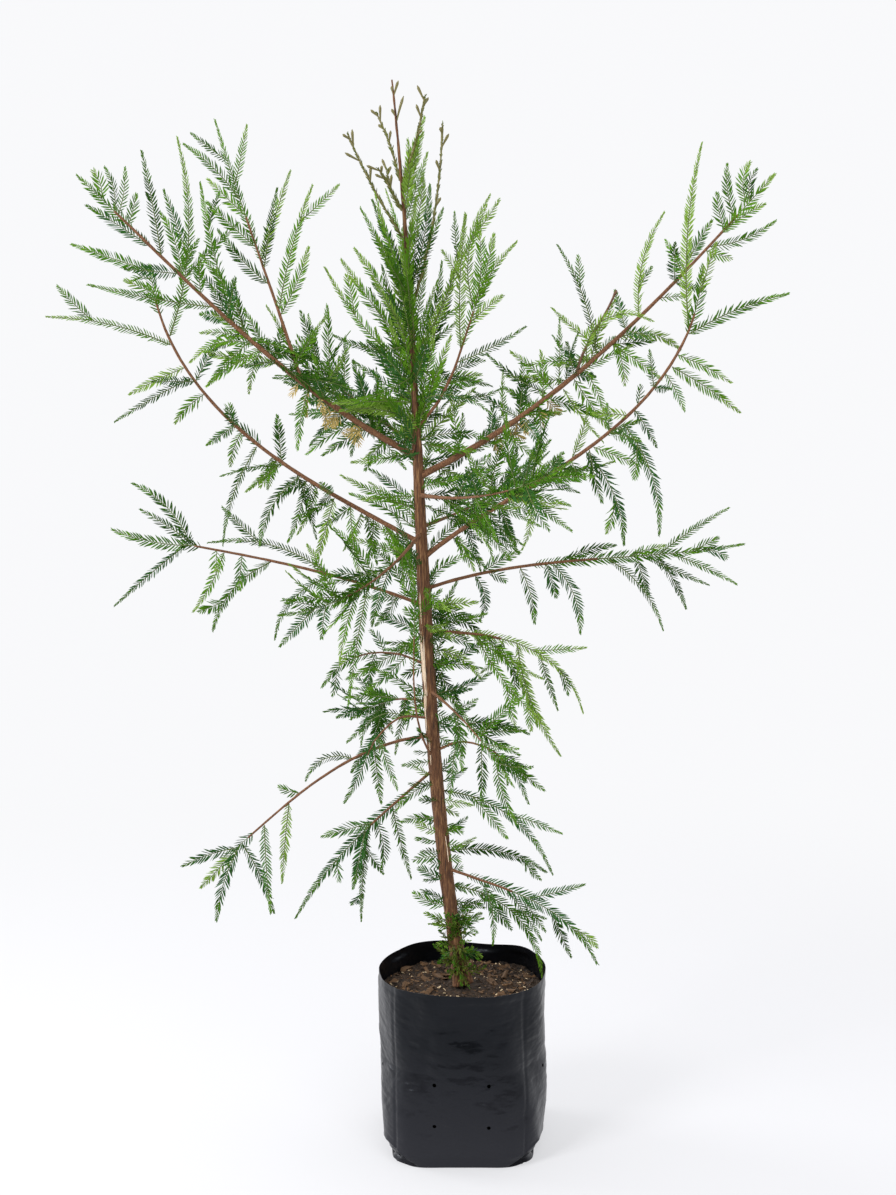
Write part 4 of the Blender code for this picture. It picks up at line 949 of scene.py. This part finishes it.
# Each shoot has a thin stem, with its girth in mm: green, or brown and swelling to a closed bud. Its
# needles spring from it in two ranks. On budded shoots and in tufts they are close and stand all round.
TWIG_SIDES, TWIG_STEP, TWIG_LEAST_STEPS = 5, 0.009, 5
TWIG_ROOT, TWIG_ROOT_GAIN, TWIG_TIP = 0.55, 2.2, 0.3
BUDDED_GIRTH = ((0, 1.4), (0.85, 1.0), (0.93, 1.5), (0.97, 1.6), (1, 0.4))
BUD_GIRTH = ((0, 0.9), (0.4, 1.3), (0.75, 1.9), (0.92, 1.5), (1, 0.4))
NEEDLE_SPACING, NEEDLE_LENGTH = 1.8 * MM, 15.5 * MM
NEEDLE_HALF_WIDTH, NEEDLE_THICKNESS = 1.02 * MM, 0.6 * MM
NEEDLE_BREADTH, TUFT_BREADTH = (0.58, 0.95), 0.68
NEEDLE_LENGTHS, NEEDLE_PLACES = (0.88, 1.08), (0.3, 0.7)
NEEDLE_ROOT_SHARE, NEEDLE_FULL_BY = 0.55, 0.2
NEEDLE_TIP_SHARE, NEEDLE_SHORTER_FROM, NEEDLE_SHORTENING = 0.28, 0.45, 1.6
NEEDLE_FORWARD, NEEDLE_SWAY, NEEDLE_LIFT = (45, 37, 16), 4, (20, 11)
NEEDLE_STATIONS = ((0.22, 0.9), (0.7, 0.85))
NEEDLE_CURL, NEEDLE_TWIST = 0.10, 32
SHORT_NEEDLE_GAIN, SLIMMEST_NEEDLE = 1.4, 0.7
ALL_ROUND, CLOSE_SPACING, CLOSE_FORWARD = 75, 1.3 * MM, 25
BUDDED_LENGTH, BUDDED_LENGTHS = (9, 4), (0.8, 1.1)
MOST_NEEDLES = 16500
needles = {tone: [] for tone in TONES}
stems = {"green": ([], []), "budded": ([], [])}


def grow_twig(shoot, girth):
    """The shoot's own stem, a thin tube. Its girth is (along, radius in mm)."""
    steps = max(TWIG_LEAST_STEPS, int(green_length(shoot) / TWIG_STEP))
    points, faces = stems["budded" if shoot.slimness < BUDDED or shoot.tone == "dry" else "green"]
    for step in range(steps + 1):
        s = place_on(shoot, step / steps)
        centre, across, back = ring_at(shoot.line, s)
        radius = girth_at(girth, step / steps)
        base = len(points)
        for side in range(TWIG_SIDES):
            angle = 2 * math.pi * side / TWIG_SIDES
            points.append(centre + (across * math.cos(angle) + back * math.sin(angle)) * radius)
        if step:
            faces += joined_rings(base, TWIG_SIDES)
    faces.append(tuple(range(base, base + TWIG_SIDES)))


def needle_share(u):
    """How long a needle is at a place along its shoot: short at the root, and shorter still at the tip."""
    root = NEEDLE_ROOT_SHARE + (1 - NEEDLE_ROOT_SHARE) * min(1, u / NEEDLE_FULL_BY)
    near_tip = max(0, (u - NEEDLE_SHORTER_FROM) / (1 - NEEDLE_SHORTER_FROM))
    return root * (1 - (1 - NEEDLE_TIP_SHARE) * near_tip ** NEEDLE_SHORTENING)


def grow_needles(shoot, tone):
    """The needles along a shoot, turning forwards and shortening to its tip."""
    budded = shoot.slimness < BUDDED
    tufted = shoot.mass == "foot_sprays" or shoot.slimness == TUFTED
    all_round = ALL_ROUND if budded or tufted else 0
    count = int(green_length(shoot) / (CLOSE_SPACING if budded or tufted else NEEDLE_SPACING))
    breadth = finer.uniform(*NEEDLE_BREADTH) * (TUFT_BREADTH if tufted else 1)
    for i in range(count):
        u = (i + finer.uniform(*NEEDLE_PLACES)) / count
        s = place_on(shoot, u)
        tangent = shoot.line.tangent(s)
        roll = math.radians(shoot.roll + finer.uniform(-all_round, all_round))
        face = Matrix.Rotation(roll, 3, tangent) @ square_to(BACK, tangent)
        across = tangent.cross(face) * (1 if i % 2 else -1)
        forward = CLOSE_FORWARD if budded else between(NEEDLE_FORWARD, u)
        forward = math.radians(forward + finer.gauss(0, NEEDLE_SWAY))
        lift = math.radians(finer.gauss(*NEEDLE_LIFT))
        aside = across * math.cos(lift) - face * math.sin(lift)
        head = tangent * math.cos(forward) + aside * math.sin(forward)
        size = NEEDLE_LENGTH * breadth * needle_share(u) * finer.uniform(*NEEDLE_LENGTHS)
        if budded:
            size = between(BUDDED_LENGTH, u) * finer.uniform(*BUDDED_LENGTHS) * MM
        shade = FRESHER.get(tone, tone) if u > TIP_FROM and not budded else tone
        needles[shade].append((*smooth_point(shoot.line, s), *head, *face, size))


for shoot in shoots:
    if shoot.slimness == BUD:
        grow_twig(shoot, BUD_GIRTH)
        continue
    root = TWIG_ROOT + TWIG_ROOT_GAIN * green_length(shoot)
    grow_twig(shoot, BUDDED_GIRTH if shoot.slimness < BUDDED else ((0, root), (1, TWIG_TIP)))
    grow_needles(shoot, tone_of(shoot))


def needle_mesh(name, rows):
    """The needles of one shade as one mesh. Each is a thin three-sided blade of nine faces."""
    rows = np.array(rows)
    root, head, face, size = rows[:, 0:3], rows[:, 3:6], rows[:, 6:9], rows[:, 9:10]
    across = np.cross(head, face)
    across /= np.linalg.norm(across, axis=1, keepdims=True)
    up = np.cross(across, head)
    twist = np.radians(np.random.default_rng(SEED).normal(0, NEEDLE_TWIST, (len(rows), 1)))
    blade, ridge = across * np.cos(twist) + up * np.sin(twist), up * np.cos(twist) - across * np.sin(twist)
    slim = np.clip(SHORT_NEEDLE_GAIN * size / NEEDLE_LENGTH, SLIMMEST_NEEDLE, 1)
    loops = [root]
    for along, share in NEEDLE_STATIONS:
        centre = root + head * size * along + up * size * NEEDLE_CURL * along * along
        half = blade * NEEDLE_HALF_WIDTH * slim * share
        loops += [centre - half, centre + half, centre + ridge * NEEDLE_THICKNESS * share]
    loops.append(root + head * size + up * size * NEEDLE_CURL)
    points = np.stack(loops, axis=1).reshape(-1, 3)
    pattern = [(0, 1, 2), (0, 2, 3), (0, 3, 1), (1, 4, 5, 2), (2, 5, 6, 3), (3, 6, 4, 1),
               (4, 7, 5), (5, 7, 6), (6, 7, 4)]
    faces = [tuple(8 * i + corner for corner in shape) for i in range(len(rows)) for shape in pattern]
    return new_piece(name, points.tolist(), faces)


# Living needles are matt, one colour to a shade. The stems' skin has a slight sheen.
foliage_nodes = [name for name, *_ in masses]
for tone, rows in needles.items():
    finish, *_ = new_finish(f"needles_{tone}_green", Roughness=1, Specular_IOR_Level=0,
                            Base_Color=linear(TONES[tone]))
    for part in range(0, len(rows), MOST_NEEDLES):
        piece = needle_mesh(f"needles_{tone}_{part // MOST_NEEDLES + 1}", rows[part:part + MOST_NEEDLES])
        dress(piece, finish, "needles", *foliage_nodes)
for kind, hex_colour in (("green", "#56652c"), ("budded", "#6a6438")):
    finish, *_ = new_finish(f"{kind}_shoot_skin", Roughness=0.6, Base_Color=linear(hex_colour))
    dress(new_piece(f"{kind}_shoots", *stems[kind]), finish, "needles", *foliage_nodes)

# The studio: a seamless pale floor under soft light, the strongest from high on the left, and the camera
# where the photograph was taken, a little below the plant's tip and tilted down.
PAPER_WHITE = (0.947, 0.950, 0.966, 1)
PAPER_SIDES, PAPER_RADIUS = 96, 80
SHADED_PAPER, OPEN_PAPER, PAPER_FILL = 0.4, 1.6, 0.52
DARK_ROOM, LIT_ROOM, DARK_UP_TO, LIT_FROM = 0.12, 1.3, -0.75, 0.2
bpy.ops.mesh.primitive_circle_add(vertices=PAPER_SIDES, radius=PAPER_RADIUS, fill_type="NGON")
floor = bpy.context.object
floor.name = "studio_floor"
paper, tree, shader, place = new_finish("white_paper_sweep", Roughness=0.9, Base_Color=linear("#929295"),
                                       Emission_Color=PAPER_WHITE, Emission_Strength=PAPER_FILL)
away = add_node(tree, "VectorMath", {"operation": "LENGTH"}, None, {0: place})
far = add_node(tree, "MapRange", {"interpolation_type": "SMOOTHSTEP"},
               {"From Min": SHADED_PAPER, "From Max": OPEN_PAPER}, {"Value": away.outputs["Value"]})
glow = add_node(tree, "Emission", None, {"Color": PAPER_WHITE, "Strength": 1})
blend = add_node(tree, "MixShader", None, None,
                 {0: far.outputs["Result"], 1: shader.outputs["BSDF"], 2: glow.outputs["Emission"]})
tree.links.new(blend.outputs["Shader"], tree.nodes["Material Output"].inputs["Surface"])
floor.data.materials.append(paper)

world = bpy.data.worlds.new("studio_light")
bpy.context.scene.world = world
world.use_nodes = True
room = world.node_tree
seen = add_node(room, "LightPath").outputs["Is Camera Ray"]
towards = add_node(room, "TexCoord").outputs["Generated"]
depth = add_node(room, "SeparateXYZ", None, None, {"Vector": towards}).outputs["Y"]
room_range = {"From Min": DARK_UP_TO, "From Max": LIT_FROM, "To Min": DARK_ROOM, "To Max": LIT_ROOM}
sides_of_room = add_node(room, "MapRange", None, room_range, {"Value": depth})
level = add_node(room, "MapRange", None, {"To Max": 1.0},
                 {"Value": seen, "To Min": sides_of_room.outputs["Result"]})
room.nodes["Background"].inputs["Color"].default_value = PAPER_WHITE
room.links.new(level.outputs["Result"], room.nodes["Background"].inputs["Strength"])
bpy.context.scene.view_settings.view_transform = "Standard"

# Square soft boxes: the place of each, the height on the plant that it faces, its width and its watts.
SOFT_BOXES = {
    "key_light": ((-2.2, -1.9, 2.6), 0.6, 1.2, 85), "side_light": ((-3.4, 1.3, 1.5), 0.3, 1.4, 75),
    "front_light": ((0.7, -2.0, 2.3), 0.7, 1.6, 34)}
for name, (place, faced, width, watts) in SOFT_BOXES.items():
    light = bpy.data.lights.new(name, "AREA")
    light.size, light.energy = width, watts
    box = bpy.data.objects.new(name, light)
    box.location = place
    box.rotation_mode = "QUATERNION"
    box.rotation_quaternion = (Vector((0, 0, faced)) - Vector(place)).to_track_quat("-Z", "Y")
    bpy.context.scene.collection.objects.link(box)

CAMERA_PLACE = (-0.018, -2.6, 1.203)
CAMERA_TILT = 11.56
FOCAL_PIXELS = 2277
PHOTO_HEIGHT = 1195
SENSOR = 36
camera = bpy.data.objects.new("photo_camera", bpy.data.cameras.new("photo_camera"))
camera.data.sensor_width = SENSOR
camera.data.lens = FOCAL_PIXELS / PHOTO_HEIGHT * SENSOR
camera.location = CAMERA_PLACE
camera.rotation_euler = (math.radians(90 - CAMERA_TILT), 0, 0)
bpy.context.scene.collection.objects.link(camera)
bpy.context.scene.camera = camera
